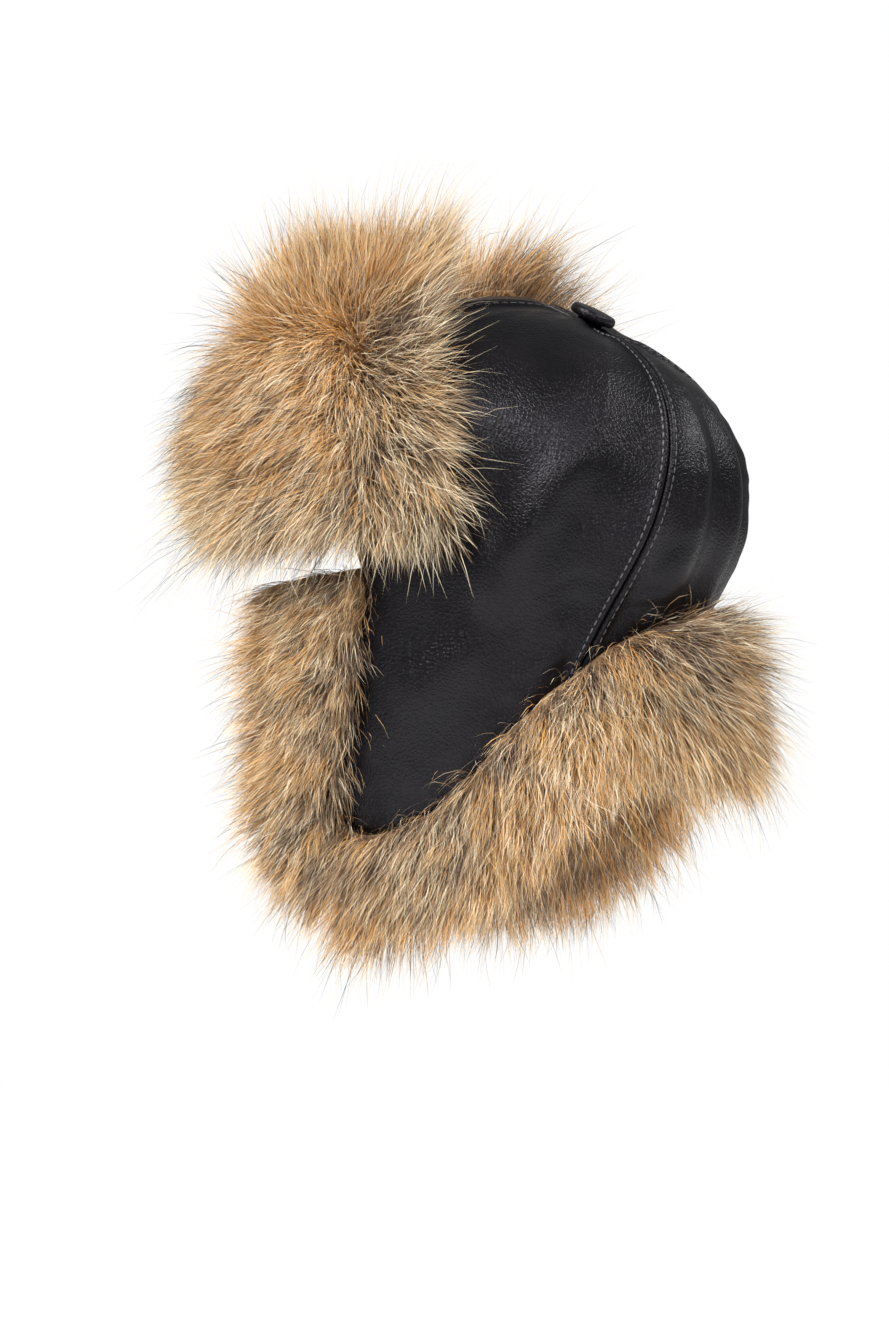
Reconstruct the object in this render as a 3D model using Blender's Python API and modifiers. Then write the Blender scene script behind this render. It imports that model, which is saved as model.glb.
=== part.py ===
"""A leather ushanka with fur trim, as a head wears it: four leather gores with raised seams, a covered
button, a fur visor turned up over the brow, fur down the front of the ear flaps and a fur band round the neck.

Metres, +Z up, the face looks along -Y and the wearer's left is +X. The origin is where the top of the
head touches the inside of the crown.
"""

import math

import bmesh
import bpy
import numpy as np
from mathutils import Vector

# Crown, measured outside the leather
CROWN_WIDTH = 0.176
CROWN_LENGTH = 0.214
CROWN_RISE = 0.085  # from the widest level up to the top
CROWN_TILT = math.radians(30.0)  # the button sits this far behind the top
LEATHER = 0.002
JAW_INSET = 0.015  # how far the flap tips lean in under the widest level
NAPE_INSET = 0.025  # how far the back draws in to the neck
NAPE_START = 0.005
NAPE_HEIGHT = 0.070

# The back slope sits lower than a plain dome
SLUMP_DEPTH = 0.0038
SLUMP_RADIUS = 0.026
SLUMP_BACK = 0.018  # behind the button

# Lower edge of the leather, as drops below the widest level
BROW_DROP = 0.004
NECK_DROP = 0.051
FLAP_DROP = 0.139

# Seams, as azimuths about the button from the back towards an ear
BACK_SEAM_TOP = math.radians(28.0)
BACK_SEAM_FOOT = math.radians(33.0)
FRONT_SEAM_TOP = math.radians(145.0)
FRONT_SEAM_FOOT = math.radians(146.0)
SEAM_GAP = 0.0006
SEAM_PULL = 0.0014  # how far a seam draws the leather in
SEAM_PULL_WIDTH = 0.014
RIDGE_WIDTH = 0.0038  # turned allowance on each side of a seam
RIDGE_HEIGHT = 0.0013
RIDGE_START = 0.014  # from the button
RIDGE_FADE = 0.022

# Covered button on its stem
BUTTON_RADIUS = 0.0099
BUTTON_THICKNESS = 0.0042
BUTTON_CROWN = 0.0006
BUTTON_EDGE = 0.0015
BUTTON_LIFT = 0.0024  # underside above the leather at the stem
STEM_RADIUS = 0.0056
STEM_CLEARANCE = 0.0006
WASHER_RADIUS = 0.0088
WASHER_THICKNESS = 0.0008
DIMPLE_DEPTH = 0.0016
DIMPLE_RADIUS = 0.015
BUTTON_SIDES = 20

# Gaps between pieces that rest on each other
REST_GAP = 0.0004
BAND_GAP = 0.0012  # from the leather's edge to a fur band

# Height of the folds in the leather
FOLD_HEIGHT = 0.0030

# Visor, a fur pad that stands round the front of the crown
VISOR_FOOT_BROW = 0.004  # below the widest level
VISOR_FOOT_SIDE = 0.015
VISOR_TOP = 0.091  # above the widest level
VISOR_PAD = 0.010
VISOR_SEAT = 0.0020  # off the crown at the foot
VISOR_LEAN = 0.050  # how far the top leans in
VISOR_LEAN_POWER = 3.0
VISOR_END = math.radians(99.0)  # from the brow round to each end
VISOR_RAKE = math.radians(16.0)  # how much sooner the top ends
VISOR_LOCK = 0.029
VISOR_FOOT_LOCK = 0.017
VISOR_TOP_LOCK = 0.043

# Fur bands along the leather's lower edge
TRIM_PAD = 0.010
EAR_TRIM_WIDTH = 0.038
EAR_TRIM_TIP_WIDTH = 0.030
EAR_LOCK = 0.027
NECK_TRIM_WIDTH = 0.034
NECK_TRIM_BACK_WIDTH = 0.056
NECK_FLARE = math.radians(40.0)
NECK_LOCK = 0.034
TRIM_GAP = 0.0008  # between the ends of two bands
TRIM_MEET = math.radians(60.0)  # azimuth where the ear and neck bands meet
EAR_TRIM_TOP = math.radians(94.0)

# Locks, as shares of a lock's own size
LOCK_TAPER = 0.60
LOCK_SPREAD = 0.12
LOCK_SEED = 7

# Mesh steps
SEAM_ROOM = 0.22  # the most of a gore's width that the columns at one seam take
RING_SPACING = 0.017  # the bands' rings lie no further apart
VISOR_STEPS = 23
BACK_STEPS = 12
BACK_ROWS = 14
SIDE_STEPS = 19
SIDE_ROWS = 16
FRONT_STEPS = 6
FRONT_ROWS = 10

HALF_WIDTH = CROWN_WIDTH / 2
HALF_LENGTH = CROWN_LENGTH / 2
CENTRE_HEIGHT = LEATHER - CROWN_RISE  # the widest level, below the origin
POLE_HOLE = (STEM_RADIUS + STEM_CLEARANCE) / CROWN_RISE  # polar angle where the gores start

# The leather's lower edge from the back centre to the brow: azimuth in degrees about the button, the drop
# that the row follows, and its share of that drop.
EDGE = (
    (0.0, NECK_DROP, 1.00),
    (14.0, NECK_DROP, 1.05),
    (25.0, NECK_DROP, 1.18),
    (33.0, FLAP_DROP, 0.52),
    (38.8, FLAP_DROP, 0.60),
    (43.0, FLAP_DROP, 0.71),
    (45.5, FLAP_DROP, 0.83),
    (49.0, FLAP_DROP, 0.94),
    (57.5, FLAP_DROP, 1.00),
    (65.5, FLAP_DROP, 0.95),
    (71.5, FLAP_DROP, 0.81),
    (78.0, FLAP_DROP, 0.64),
    (83.5, FLAP_DROP, 0.47),
    (92.0, FLAP_DROP, 0.24),
    (104.0, FLAP_DROP, 0.11),
    (125.0, BROW_DROP, 1.50),
    (150.0, BROW_DROP, 1.05),
    (180.0, BROW_DROP, 1.00),
)

# A seam's raised allowance: distance from the seam as a share of RIDGE_WIDTH, height as a share of
# RIDGE_HEIGHT. The first row is the groove where two gores meet.
RIDGE = (
    (0.00, 0.35),
    (0.35, 1.00),
    (0.82, 0.95),
    (1.15, 0.00),
)

# Soft folds and dents: azimuth and polar angle of the middle in degrees, the way the fold runs in degrees
# from straight down, half its length and half its width as shares of the crown's rise, and its height as
# a share of FOLD_HEIGHT, below nought for a dent.
SIDE_FOLDS = (
    (58.0, 78.0, 6.0, 0.34, 0.105, 0.90),
    (66.0, 96.0, -38.0, 0.30, 0.105, 0.95),
    (72.0, 84.0, 12.0, 0.34, 0.150, -1.00),
    (47.0, 84.0, -14.0, 0.36, 0.120, -0.80),
    (52.0, 108.0, -20.0, 0.30, 0.120, -0.55),
    (60.0, 122.0, 20.0, 0.26, 0.120, 0.60),
    (52.0, 52.0, 0.0, 0.30, 0.220, 0.50),
)
BACK_FOLDS = (
    (17.0, 66.0, 2.0, 0.60, 0.085, 0.90),
    (8.0, 70.0, -3.0, 0.66, 0.085, -0.90),
    (-1.0, 66.0, 3.0, 0.66, 0.085, 0.80),
    (-10.0, 70.0, -3.0, 0.62, 0.085, -0.90),
    (-18.0, 66.0, 3.0, 0.60, 0.080, 0.80),
)
FRONT_FOLDS = ()

# The visor pad's section from its foot up the outside and down the inside: height as a share of the
# visor's own, depth in front of the inner face as a share of VISOR_PAD, and whether locks grow from the
# strip up to the next row.
VISOR_SECTION = (
    (0.020, 0.00, True),
    (-0.010, 0.70, True),
    (0.120, 1.00, True),
    (0.270, 1.08, True),
    (0.420, 1.10, True),
    (0.570, 1.06, True),
    (0.720, 0.98, True),
    (0.870, 0.80, True),
    (1.000, 0.25, False),
    (0.930, -0.10, False),
    (0.600, 0.00, False),
    (0.300, 0.00, False),
)

# A band's section: distance from the leather's edge as a share of the band's width, height over the
# outside of the leather as a share of TRIM_PAD, and whether locks grow from the strip up to the next row.
TRIM_SECTION = (
    (0.00, 0.30, True),
    (0.22, 0.52, True),
    (0.50, 0.56, True),
    (0.78, 0.40, True),
    (1.00, 0.00, False),
    (0.92, -0.42, False),
    (0.45, -0.62, False),
    (0.00, -0.55, False),
)


def ease(share):
    """A smooth step from 0 to 1."""
    share = np.clip(share, 0.0, 1.0)
    return share * share * (3.0 - 2.0 * share)


def unit(vector):
    return vector / np.linalg.norm(vector, axis=-1, keepdims=True)


def side_half(z):
    """Half the hat's width at a height over the widest level."""
    return HALF_WIDTH - JAW_INSET * (np.minimum(z, 0.0) / FLAP_DROP) ** 2


def back_half(z):
    """Half the hat's length behind the ears at a height over the widest level."""
    return HALF_LENGTH - NAPE_INSET * ease((-z - NAPE_START) / NAPE_HEIGHT)


def form_level(point):
    """Below 1 inside the head form and above 1 outside it, for points about the head's centre."""
    x, y, z = point[..., 0], point[..., 1], point[..., 2]
    length = np.where(y > 0.0, back_half(z), HALF_LENGTH)
    rise = np.maximum(z, 0.0) / CROWN_RISE
    return (x / side_half(z)) ** 2 + (y / length) ** 2 + rise**2


def tilted(azimuth, polar):
    """The direction at an azimuth and a polar angle about the button's axis."""
    azimuth, polar = np.broadcast_arrays(azimuth, polar)
    across = np.sin(polar) * np.sin(azimuth)
    back = np.sin(polar) * np.cos(azimuth)
    up = np.cos(polar)
    sin_tilt, cos_tilt = math.sin(CROWN_TILT), math.cos(CROWN_TILT)
    return np.stack([across, back * cos_tilt + up * sin_tilt, up * cos_tilt - back * sin_tilt], -1)


def form_point(azimuth, polar):
    """The point of the head form in a direction, about the head's centre."""
    direction = tilted(azimuth, polar)
    near = np.zeros(direction.shape[:-1])
    far = np.full(direction.shape[:-1], 3.0 * (FLAP_DROP + HALF_LENGTH))
    for _ in range(44):
        middle = (near + far) / 2
        outside = form_level(direction * middle[..., None]) > 1.0
        far = np.where(outside, middle, far)
        near = np.where(outside, near, middle)
    return direction * near[..., None]


def form_normal(point):
    """The head form's outward normal."""
    step = LEATHER / 10
    slopes = [form_level(point + step * axis) - form_level(point - step * axis) for axis in np.eye(3)]
    return unit(np.stack(slopes, -1))


def smooth_curve(knots, values, where):
    """A monotone cubic through the values, which never passes them."""
    gaps = np.diff(knots)
    steps = np.diff(values) / gaps
    slopes = np.zeros(len(knots))
    for i in range(1, len(knots) - 1):
        if steps[i - 1] * steps[i] > 0.0:
            early = 2 * gaps[i] + gaps[i - 1]
            late = gaps[i] + 2 * gaps[i - 1]
            slopes[i] = (early + late) / (early / steps[i - 1] + late / steps[i])
    cell = np.clip(np.searchsorted(knots, where, side="right") - 1, 0, len(gaps) - 1)
    t = (where - knots[cell]) / gaps[cell]
    rest = 1.0 - t
    ends = (1 + 2 * t) * rest**2 * values[cell] + t**2 * (3 - 2 * t) * values[cell + 1]
    bends = t * rest**2 * slopes[cell] - t**2 * rest * slopes[cell + 1]
    return ends + bends * gaps[cell]


def polar_at_drop(azimuth, drop):
    """The polar angle where the head form has come down by a drop below its widest level."""
    high = np.full(azimuth.shape, math.radians(40.0))
    low = np.full(azimuth.shape, math.radians(176.0))
    for _ in range(36):
        middle = (high + low) / 2
        below = form_point(azimuth, middle)[..., 2] < -drop
        low = np.where(below, middle, low)
        high = np.where(below, high, middle)
    return (high + low) / 2


def edge_knots():
    """The edge table's azimuths and drops, and how far along the edge its rows lie."""
    azimuth = np.radians([row[0] for row in EDGE])
    drop = np.array([row[1] * row[2] for row in EDGE])
    points = form_point(azimuth, polar_at_drop(azimuth, drop))
    run = np.concatenate([[0.0], np.cumsum(np.linalg.norm(np.diff(points, axis=0), axis=1))])
    return azimuth, drop, run


EDGE_AZIMUTH, EDGE_DROPS, EDGE_RUN = edge_knots()
BROW_RUN = EDGE_RUN[-1]


def edge_at(run):
    """Azimuth and polar angle of the leather's edge at a distance from the back, on the wearer's left up to
    the brow, and on the right below nought or past the brow."""
    left = BROW_RUN - np.abs(BROW_RUN - np.abs(run))
    azimuth = smooth_curve(EDGE_RUN, EDGE_AZIMUTH, left)
    polar = polar_at_drop(azimuth, smooth_curve(EDGE_RUN, EDGE_DROPS, left))
    azimuth = np.where(run < 0.0, -azimuth, azimuth)
    return np.where(run > BROW_RUN, 2 * math.pi - azimuth, azimuth), polar


def run_at(azimuth):
    return float(np.interp(azimuth, EDGE_AZIMUTH, EDGE_RUN))


def edge_slant(run):
    """How far the edge runs for each length round the button's axis."""
    ends = run + np.array([-RIDGE_WIDTH / 2, RIDGE_WIDTH / 2])
    azimuth, polar = edge_at(ends)
    from_axis = np.linalg.norm(form_point(azimuth, polar), axis=-1) * np.sin(polar)
    return RIDGE_WIDTH / ((azimuth[1] - azimuth[0]) * from_axis.mean())


BACK_RUN = run_at(BACK_SEAM_FOOT)
FRONT_RUN = run_at(FRONT_SEAM_FOOT)


def folds(azimuth, polar, table):
    """How far the folds of a table lift the leather."""
    height = np.zeros(azimuth.shape)
    for middle, down, turn, half_length, half_width, share in table:
        across = (azimuth - math.radians(middle)) * np.sin(polar) * HALF_LENGTH
        along = (polar - math.radians(down)) * HALF_LENGTH
        sin_turn, cos_turn = math.sin(math.radians(turn)), math.cos(math.radians(turn))
        off = (across * cos_turn - along * sin_turn) / (half_width * CROWN_RISE)
        far = (across * sin_turn + along * cos_turn) / (half_length * CROWN_RISE)
        height = height + share * FOLD_HEIGHT * np.exp(-(off**2) - far**4)
    return height


def slump(azimuth, polar):
    """How far the back slope and the button's dimple lie under the plain dome."""
    across = polar * CROWN_RISE * np.sin(azimuth)
    back = polar * CROWN_RISE * np.cos(azimuth)
    from_slope = (across**2 + (back - SLUMP_BACK) ** 2) / SLUMP_RADIUS**2
    from_button = (across**2 + back**2) / DIMPLE_RADIUS**2
    return SLUMP_DEPTH * np.exp(-from_slope) + DIMPLE_DEPTH * np.exp(-from_button)


def relief(azimuth, polar, table, seam_distance):
    """The leather's height over the head form."""
    free = ease((seam_distance - RIDGE_WIDTH) / SEAM_PULL_WIDTH)
    reach, rise = zip(*RIDGE)
    raised = ease((polar * CROWN_RISE - RIDGE_START) / RIDGE_FADE)
    ridge = RIDGE_HEIGHT * raised * np.interp(seam_distance / RIDGE_WIDTH, reach, rise)
    return folds(azimuth, polar, table) * free - SEAM_PULL * (1.0 - free) + ridge - slump(azimuth, polar)


def placed(point):
    """From the head's centre to the part's origin."""
    return point + np.array([0.0, 0.0, CENTRE_HEIGHT])


def seam_steps():
    """Distances from a seam where each gore has a column of points."""
    return np.array([SEAM_GAP / 2] + [row[0] * RIDGE_WIDTH for row in RIDGE[1:]])


def seam_squeeze(width):
    """Where a gore is narrow, its seam columns draw closer by this share."""
    return np.minimum(1.0, SEAM_ROOM * width / seam_steps()[-1])


def places_across(width, steps):
    """Distances across a gore of a width: the seam columns at both sides and even steps between them."""
    near = seam_steps()
    squeeze = seam_squeeze(width)
    start = np.outer(near, squeeze)
    room = width - 2 * near[-1] * squeeze
    inner = near[-1] * squeeze + np.outer(np.arange(1, steps) / steps, room)
    return np.concatenate([start, inner, width - start[::-1]])


def gore_points(tops, runs, steps, rows, table):
    """Points of one gore between two seams, given by their azimuths at the button and their places on the
    edge."""
    down = np.linspace(0.0, 1.0, rows + 1)
    near = seam_steps()
    foot_run = runs[0] + places_across(np.array([runs[1] - runs[0]]), steps)
    for i, distance in enumerate(near):
        foot_run[i] = runs[0] + distance * edge_slant(runs[0])
        foot_run[-1 - i] = runs[1] - distance * edge_slant(runs[1])
    foot_azimuth, foot_polar = edge_at(foot_run)
    polar = POLE_HOLE + (foot_polar - POLE_HOLE) * down
    hole_radius = POLE_HOLE * CROWN_RISE
    top_azimuth = tops[0] + places_across(np.array([(tops[1] - tops[0]) * hole_radius]), steps) / hole_radius
    azimuth = top_azimuth + (foot_azimuth - top_azimuth) * down**2
    feet = edge_at(np.array(runs))[0]
    first = tops[0] + (feet[0] - tops[0]) * down**2
    last = tops[1] + (feet[1] - tops[1]) * down**2
    from_axis = np.linalg.norm(form_point(azimuth, polar), axis=-1) * np.sin(polar)
    squeeze = seam_squeeze((last - first) * from_axis)
    for i, distance in enumerate(near):
        azimuth[i] = first + distance * squeeze[i] / from_axis[i]
        azimuth[-1 - i] = last - distance * squeeze[-1 - i] / from_axis[-1 - i]
    seam_distance = np.minimum(azimuth - first, last - azimuth) * from_axis / squeeze
    point = form_point(azimuth, polar)
    height = relief(azimuth, polar, table, seam_distance)
    return placed(point + form_normal(point) * height[..., None])


def material(name, colour, roughness):
    made = bpy.data.materials.new(name)
    made.use_nodes = True
    shader = made.node_tree.nodes["Principled BSDF"]
    shader.inputs["Base Color"].default_value = (*colour, 1.0)
    shader.inputs["Roughness"].default_value = roughness
    shader.inputs["Metallic"].default_value = 0.0
    return made


def new_object(name, shape, made_of):
    mesh = bpy.data.meshes.new(name)
    shape.to_mesh(mesh)
    shape.free()
    mesh.materials.append(made_of)
    thing = bpy.data.objects.new(name, mesh)
    hat.objects.link(thing)
    return thing


def gore(name, tops, runs, steps, rows, table, side, made_of):
    """One leather gore: a grid laid on the head form, given its thickness inwards."""
    points = gore_points(tops, runs, steps, rows, table) * np.array([side, 1.0, 1.0])
    columns = points.shape[0] - 1
    shape = bmesh.new()
    bmesh.ops.create_grid(shape, x_segments=columns, y_segments=rows, size=0.5)
    for vertex in shape.verts:
        i = round((vertex.co.x + 0.5) * columns)
        j = round((vertex.co.y + 0.5) * rows)
        vertex.co = points[i, j]
    if side < 0:
        bmesh.ops.reverse_faces(shape, faces=shape.faces)
    thing = new_object(name, shape, made_of)
    thing.data.shade_smooth()
    shell = thing.modifiers.new("Leather thickness", "SOLIDIFY")
    shell.thickness = LEATHER
    shell.offset = -1.0
    return thing


def button_seat():
    """Middle and normal of the leather round the stem, about the part's origin."""
    azimuth = np.radians([0.0, 90.0, 180.0, 270.0])
    polar = np.full(4, POLE_HOLE)
    bare = form_point(azimuth, polar)
    ring = bare + form_normal(bare) * relief(azimuth, polar, (), np.zeros(4))[:, None]
    normal = unit(np.cross(ring[1] - ring[3], ring[0] - ring[2]))
    return Vector(placed(ring.mean(axis=0))), Vector(normal)


def button(made_of):
    """A covered button: its cap, its stem through the crown and the washer inside, turned as one piece."""
    cap_top = BUTTON_LIFT + BUTTON_THICKNESS
    round_edge = BUTTON_RADIUS - BUTTON_EDGE
    washer_top = -LEATHER - 3 * REST_GAP
    profile = [
        (0.0, cap_top + BUTTON_CROWN),
        (0.55 * round_edge, cap_top + 0.7 * BUTTON_CROWN),
        (round_edge, cap_top),
        (BUTTON_RADIUS - 0.3 * BUTTON_EDGE, cap_top - 0.3 * BUTTON_EDGE),
        (BUTTON_RADIUS, cap_top - BUTTON_THICKNESS / 2),
        (BUTTON_RADIUS - 0.3 * BUTTON_EDGE, BUTTON_LIFT + 0.3 * BUTTON_EDGE),
        (round_edge, BUTTON_LIFT),
        (STEM_RADIUS, BUTTON_LIFT),
        (STEM_RADIUS, washer_top),
        (WASHER_RADIUS, washer_top),
        (WASHER_RADIUS, washer_top - WASHER_THICKNESS),
        (0.0, washer_top - WASHER_THICKNESS),
    ]
    shape = bmesh.new()
    corners = [shape.verts.new((radius, 0.0, height)) for radius, height in profile]
    for first, second in zip(corners, corners[1:]):
        shape.edges.new((first, second))
    thing = new_object("crown_button", shape, made_of)
    turned = thing.modifiers.new("Turned", "SCREW")
    turned.steps = BUTTON_SIDES
    turned.render_steps = BUTTON_SIDES
    turned.use_merge_vertices = True
    turned.merge_threshold = 0.00001
    turned.use_normal_calculate = True
    seat, normal = button_seat()
    thing.location = seat
    thing.rotation_euler = Vector((0.0, 0.0, 1.0)).rotation_difference(normal).to_euler()
    return thing


def fur_pad(name, rings, places, section, side, aim, reach, made_of):
    """A closed pad through rings of points, each chosen face of it drawn out into one tapered lock. aim
    gives a lock's direction and reach its length, from the place along the pad and across its section."""
    chance = np.random.default_rng(LOCK_SEED)
    shape = bmesh.new()
    loops = [[shape.verts.new(point) for point in ring] for ring in rings]
    growing = []
    for i, (first, second) in enumerate(zip(loops, loops[1:])):
        for j, row in enumerate(section):
            k = (j + 1) % len(section)
            face = shape.faces.new((first[j], first[k], second[k], second[j]))
            if row[2]:
                growing.append((face, (places[i] + places[i + 1]) / 2, (row[0] + section[k][0]) / 2))
    shape.faces.new(loops[0][::-1])
    shape.faces.new(loops[-1])
    bmesh.ops.recalc_face_normals(shape, faces=shape.faces)
    shape.normal_update()
    for face, along, across in growing:
        root, normal = np.array(face.calc_center_median()), np.array(face.normal)
        way = unit(aim(along, across, root, normal))
        length = reach(along, across) * (1.0 + LOCK_SPREAD * chance.uniform(-1.0, 1.0))
        middle = root + 0.5 * length * unit(way + 0.5 * normal)
        tip = root + length * way
        (end,) = bmesh.ops.extrude_discrete_faces(shape, faces=[face])["faces"]
        for vertex in end.verts:
            vertex.co = middle + (np.array(vertex.co) - root) * LOCK_TAPER
        bmesh.ops.poke(shape, faces=[end])["verts"][0].co = tip
    if side < 0:
        for vertex in shape.verts:
            vertex.co.x = -vertex.co.x
        bmesh.ops.reverse_faces(shape, faces=shape.faces)
    return new_object(name, shape, made_of)


def visor_ring(turn):
    """The visor pad's section at an angle round from the brow, for an end that isn't raked."""
    foot = -VISOR_FOOT_BROW - (VISOR_FOOT_SIDE - VISOR_FOOT_BROW) * float(ease(abs(turn) / VISOR_END))
    ring = []
    for up, out, _ in VISOR_SECTION:
        depth = VISOR_SEAT - VISOR_LEAN * max(up, 0.0) ** VISOR_LEAN_POWER + out * VISOR_PAD
        there = turn * (1.0 - VISOR_RAKE / VISOR_END * max(up, 0.0) ** 1.5)
        x = (HALF_WIDTH + depth) * math.sin(there)
        y = -(HALF_LENGTH + depth) * math.cos(there)
        ring.append((x, y, foot + up * (VISOR_TOP - foot)))
    return placed(np.array(ring))


def visor(made_of):
    """The turned up visor: its locks hang down the face, stand up over the top and sweep back at the ends."""
    turns = np.linspace(-VISOR_END, VISOR_END, VISOR_STEPS + 1)

    def aim(turn, up, root, normal):
        out = np.array([math.sin(turn), -math.cos(turn), 0.0])
        stand = float(ease((up - 0.45) / 0.45))
        rise = -0.80 + 2.00 * stand
        end = float(ease((abs(turn) / VISOR_END - 0.70) / 0.30)) * (1.0 - stand)
        return (0.60 - 0.35 * stand) * out + 0.35 * normal + np.array([0.0, 0.9 * end, rise])

    locks = (VISOR_FOOT_LOCK, VISOR_LOCK, VISOR_LOCK, VISOR_TOP_LOCK)

    def reach(turn, up):
        return float(np.interp(up, (0.0, 0.35, 0.6, 1.0), locks))

    rings = [visor_ring(turn) for turn in turns]
    return fur_pad("visor_fur", rings, turns, VISOR_SECTION, 1, aim, reach, made_of)


def rim_runs(first, last):
    """Places on the leather's edge where a band has rings: wherever the gores have columns, and closer where
    those lie far apart."""
    columns = []
    for runs, steps in ((BACK_SPAN, BACK_STEPS), (SIDE_SPAN, SIDE_STEPS)):
        columns += list(runs[0] + places_across(np.array([runs[1] - runs[0]]), steps)[:, 0])
    columns = sorted(set(columns) | {-run for run in columns})
    places = [first]
    for run in [*[run for run in columns if first < run < last], last]:
        if run - places[-1] > RING_SPACING / 3:
            pieces = math.ceil((run - places[-1]) / RING_SPACING)
            places += list(np.linspace(places[-1], run, pieces + 1)[1:])
    places[-1] = last
    return np.array(places)


def band_frames(runs, level):
    """Points of the leather's edge with the way out of the form and the way away from the leather. level is
    how far a band takes the edge as running level."""
    azimuth, polar = edge_at(runs)
    points = form_point(azimuth, polar)
    along = np.gradient(points, runs, axis=0)
    along[:, 2] *= 1.0 - np.array([level(run) for run in runs])
    along = unit(along)
    normal = form_normal(points)
    away = unit(np.cross(normal, along))
    return points, unit(np.cross(along, away)), away


def band(name, runs, width, flare, level, side, aim, reach, made_of):
    """A fur band along the leather's edge."""
    points, normals, aways = band_frames(runs, level)
    points = points + BAND_GAP * aways
    tilt = np.array([flare(run) for run in runs])[:, None]
    normals, aways = normals * np.cos(tilt) - aways * np.sin(tilt), aways * np.cos(tilt) + normals * np.sin(tilt)
    rings = []
    for run, point, normal, away in zip(runs, points, normals, aways):
        wide = width(run)
        ring = [point + share * wide * away + rise * TRIM_PAD * normal for share, rise, _ in TRIM_SECTION]
        rings.append(placed(np.array(ring)))

    def aim_there(run, share, root, face_normal):
        up = np.array([np.interp(run, runs, normals[:, i]) for i in range(3)])
        away = np.array([np.interp(run, runs, aways[:, i]) for i in range(3)])
        return aim(run, share, up, away) + 0.25 * face_normal

    return fur_pad(name, rings, runs, TRIM_SECTION, side, aim_there, reach, made_of)


def ear_trim(name, side, made_of):
    """The fur down the front edge of an ear flap: it hangs, fans to the face in front and laps the leather."""
    meet, top = run_at(TRIM_MEET) + TRIM_GAP / 2, run_at(EAR_TRIM_TOP)
    runs = rim_runs(meet, top)

    def width(run):
        up = float(ease((run - meet) / (top - meet) * 1.5))
        return EAR_TRIM_TIP_WIDTH + (EAR_TRIM_WIDTH - EAR_TRIM_TIP_WIDTH) * up

    def aim(run, share, up, away):
        return (0.70 - 0.45 * share) * up + 0.85 * share * away + np.array([0.0, 0.0, -0.55])

    def reach(run, share):
        return EAR_LOCK * (0.70 + 0.30 * share)

    return band(name, runs, width, lambda run: 0.0, lambda run: 0.0, side, aim, reach, made_of)


def neck_trim(made_of):
    """The fur band from one flap tip round the neck to the other, wide and flared at the back."""
    meet = run_at(TRIM_MEET) - TRIM_GAP / 2
    runs = rim_runs(-meet, meet)

    def backness(run):
        return 1.0 - float(ease(abs(run) / (1.25 * BACK_RUN)))

    def width(run):
        return NECK_TRIM_WIDTH + (NECK_TRIM_BACK_WIDTH - NECK_TRIM_WIDTH) * backness(run)

    def flare(run):
        return NECK_FLARE * (0.12 + 0.88 * backness(run))

    def aim(run, share, up, away):
        return (0.80 - 0.55 * share) * up + (0.15 + 0.85 * share) * away + np.array([0.0, 0.0, -0.20])

    def reach(run, share):
        return NECK_LOCK * (0.80 + 0.20 * share) * (1.0 + 0.20 * backness(run))

    return band("neck_trim", runs, width, flare, backness, 1, aim, reach, made_of)


BACK_SPAN = (-BACK_RUN, BACK_RUN)
SIDE_SPAN = (BACK_RUN, FRONT_RUN)
FRONT_SPAN = (FRONT_RUN, 2 * BROW_RUN - FRONT_RUN)

for old in list(bpy.data.objects):
    bpy.data.objects.remove(old, do_unlink=True)
hat = bpy.data.collections.new("Ushanka")
bpy.context.scene.collection.children.link(hat)

black_leather = material("Black leather", (0.013, 0.012, 0.013), 0.38)
button_leather = material("Button leather", (0.012, 0.011, 0.012), 0.34)
visor_hair = material("Golden brown fur", (0.40, 0.25, 0.12), 0.80)
trim_hair = material("Grey brown fur", (0.36, 0.26, 0.16), 0.80)

SIDE_TOPS = (BACK_SEAM_TOP, FRONT_SEAM_TOP)
BACK_TOPS = (-BACK_SEAM_TOP, BACK_SEAM_TOP)
gore("crown_back", BACK_TOPS, BACK_SPAN, BACK_STEPS, BACK_ROWS, BACK_FOLDS, 1, black_leather)
gore("crown_side_left", SIDE_TOPS, SIDE_SPAN, SIDE_STEPS, SIDE_ROWS, SIDE_FOLDS, 1, black_leather)
gore("crown_side_right", SIDE_TOPS, SIDE_SPAN, SIDE_STEPS, SIDE_ROWS, SIDE_FOLDS, -1, black_leather)
FRONT_TOPS = (FRONT_SEAM_TOP, 2 * math.pi - FRONT_SEAM_TOP)
gore("crown_front", FRONT_TOPS, FRONT_SPAN, FRONT_STEPS, FRONT_ROWS, FRONT_FOLDS, 1, black_leather)
button(button_leather)
visor(visor_hair)
ear_trim("ear_trim_left", 1, trim_hair)
ear_trim("ear_trim_right", -1, trim_hair)
neck_trim(trim_hair)
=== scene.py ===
"""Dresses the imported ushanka: supple black leather gores with topstitched ridges, a covered button, and long
two-toned fur, made of single hairs that grow from soft pads.

Metres, +Z up, the face looks along -Y and the wearer's left is +X.
"""

import math

import bmesh
import bpy
import numpy as np
from mathutils import Matrix, Vector


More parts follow.
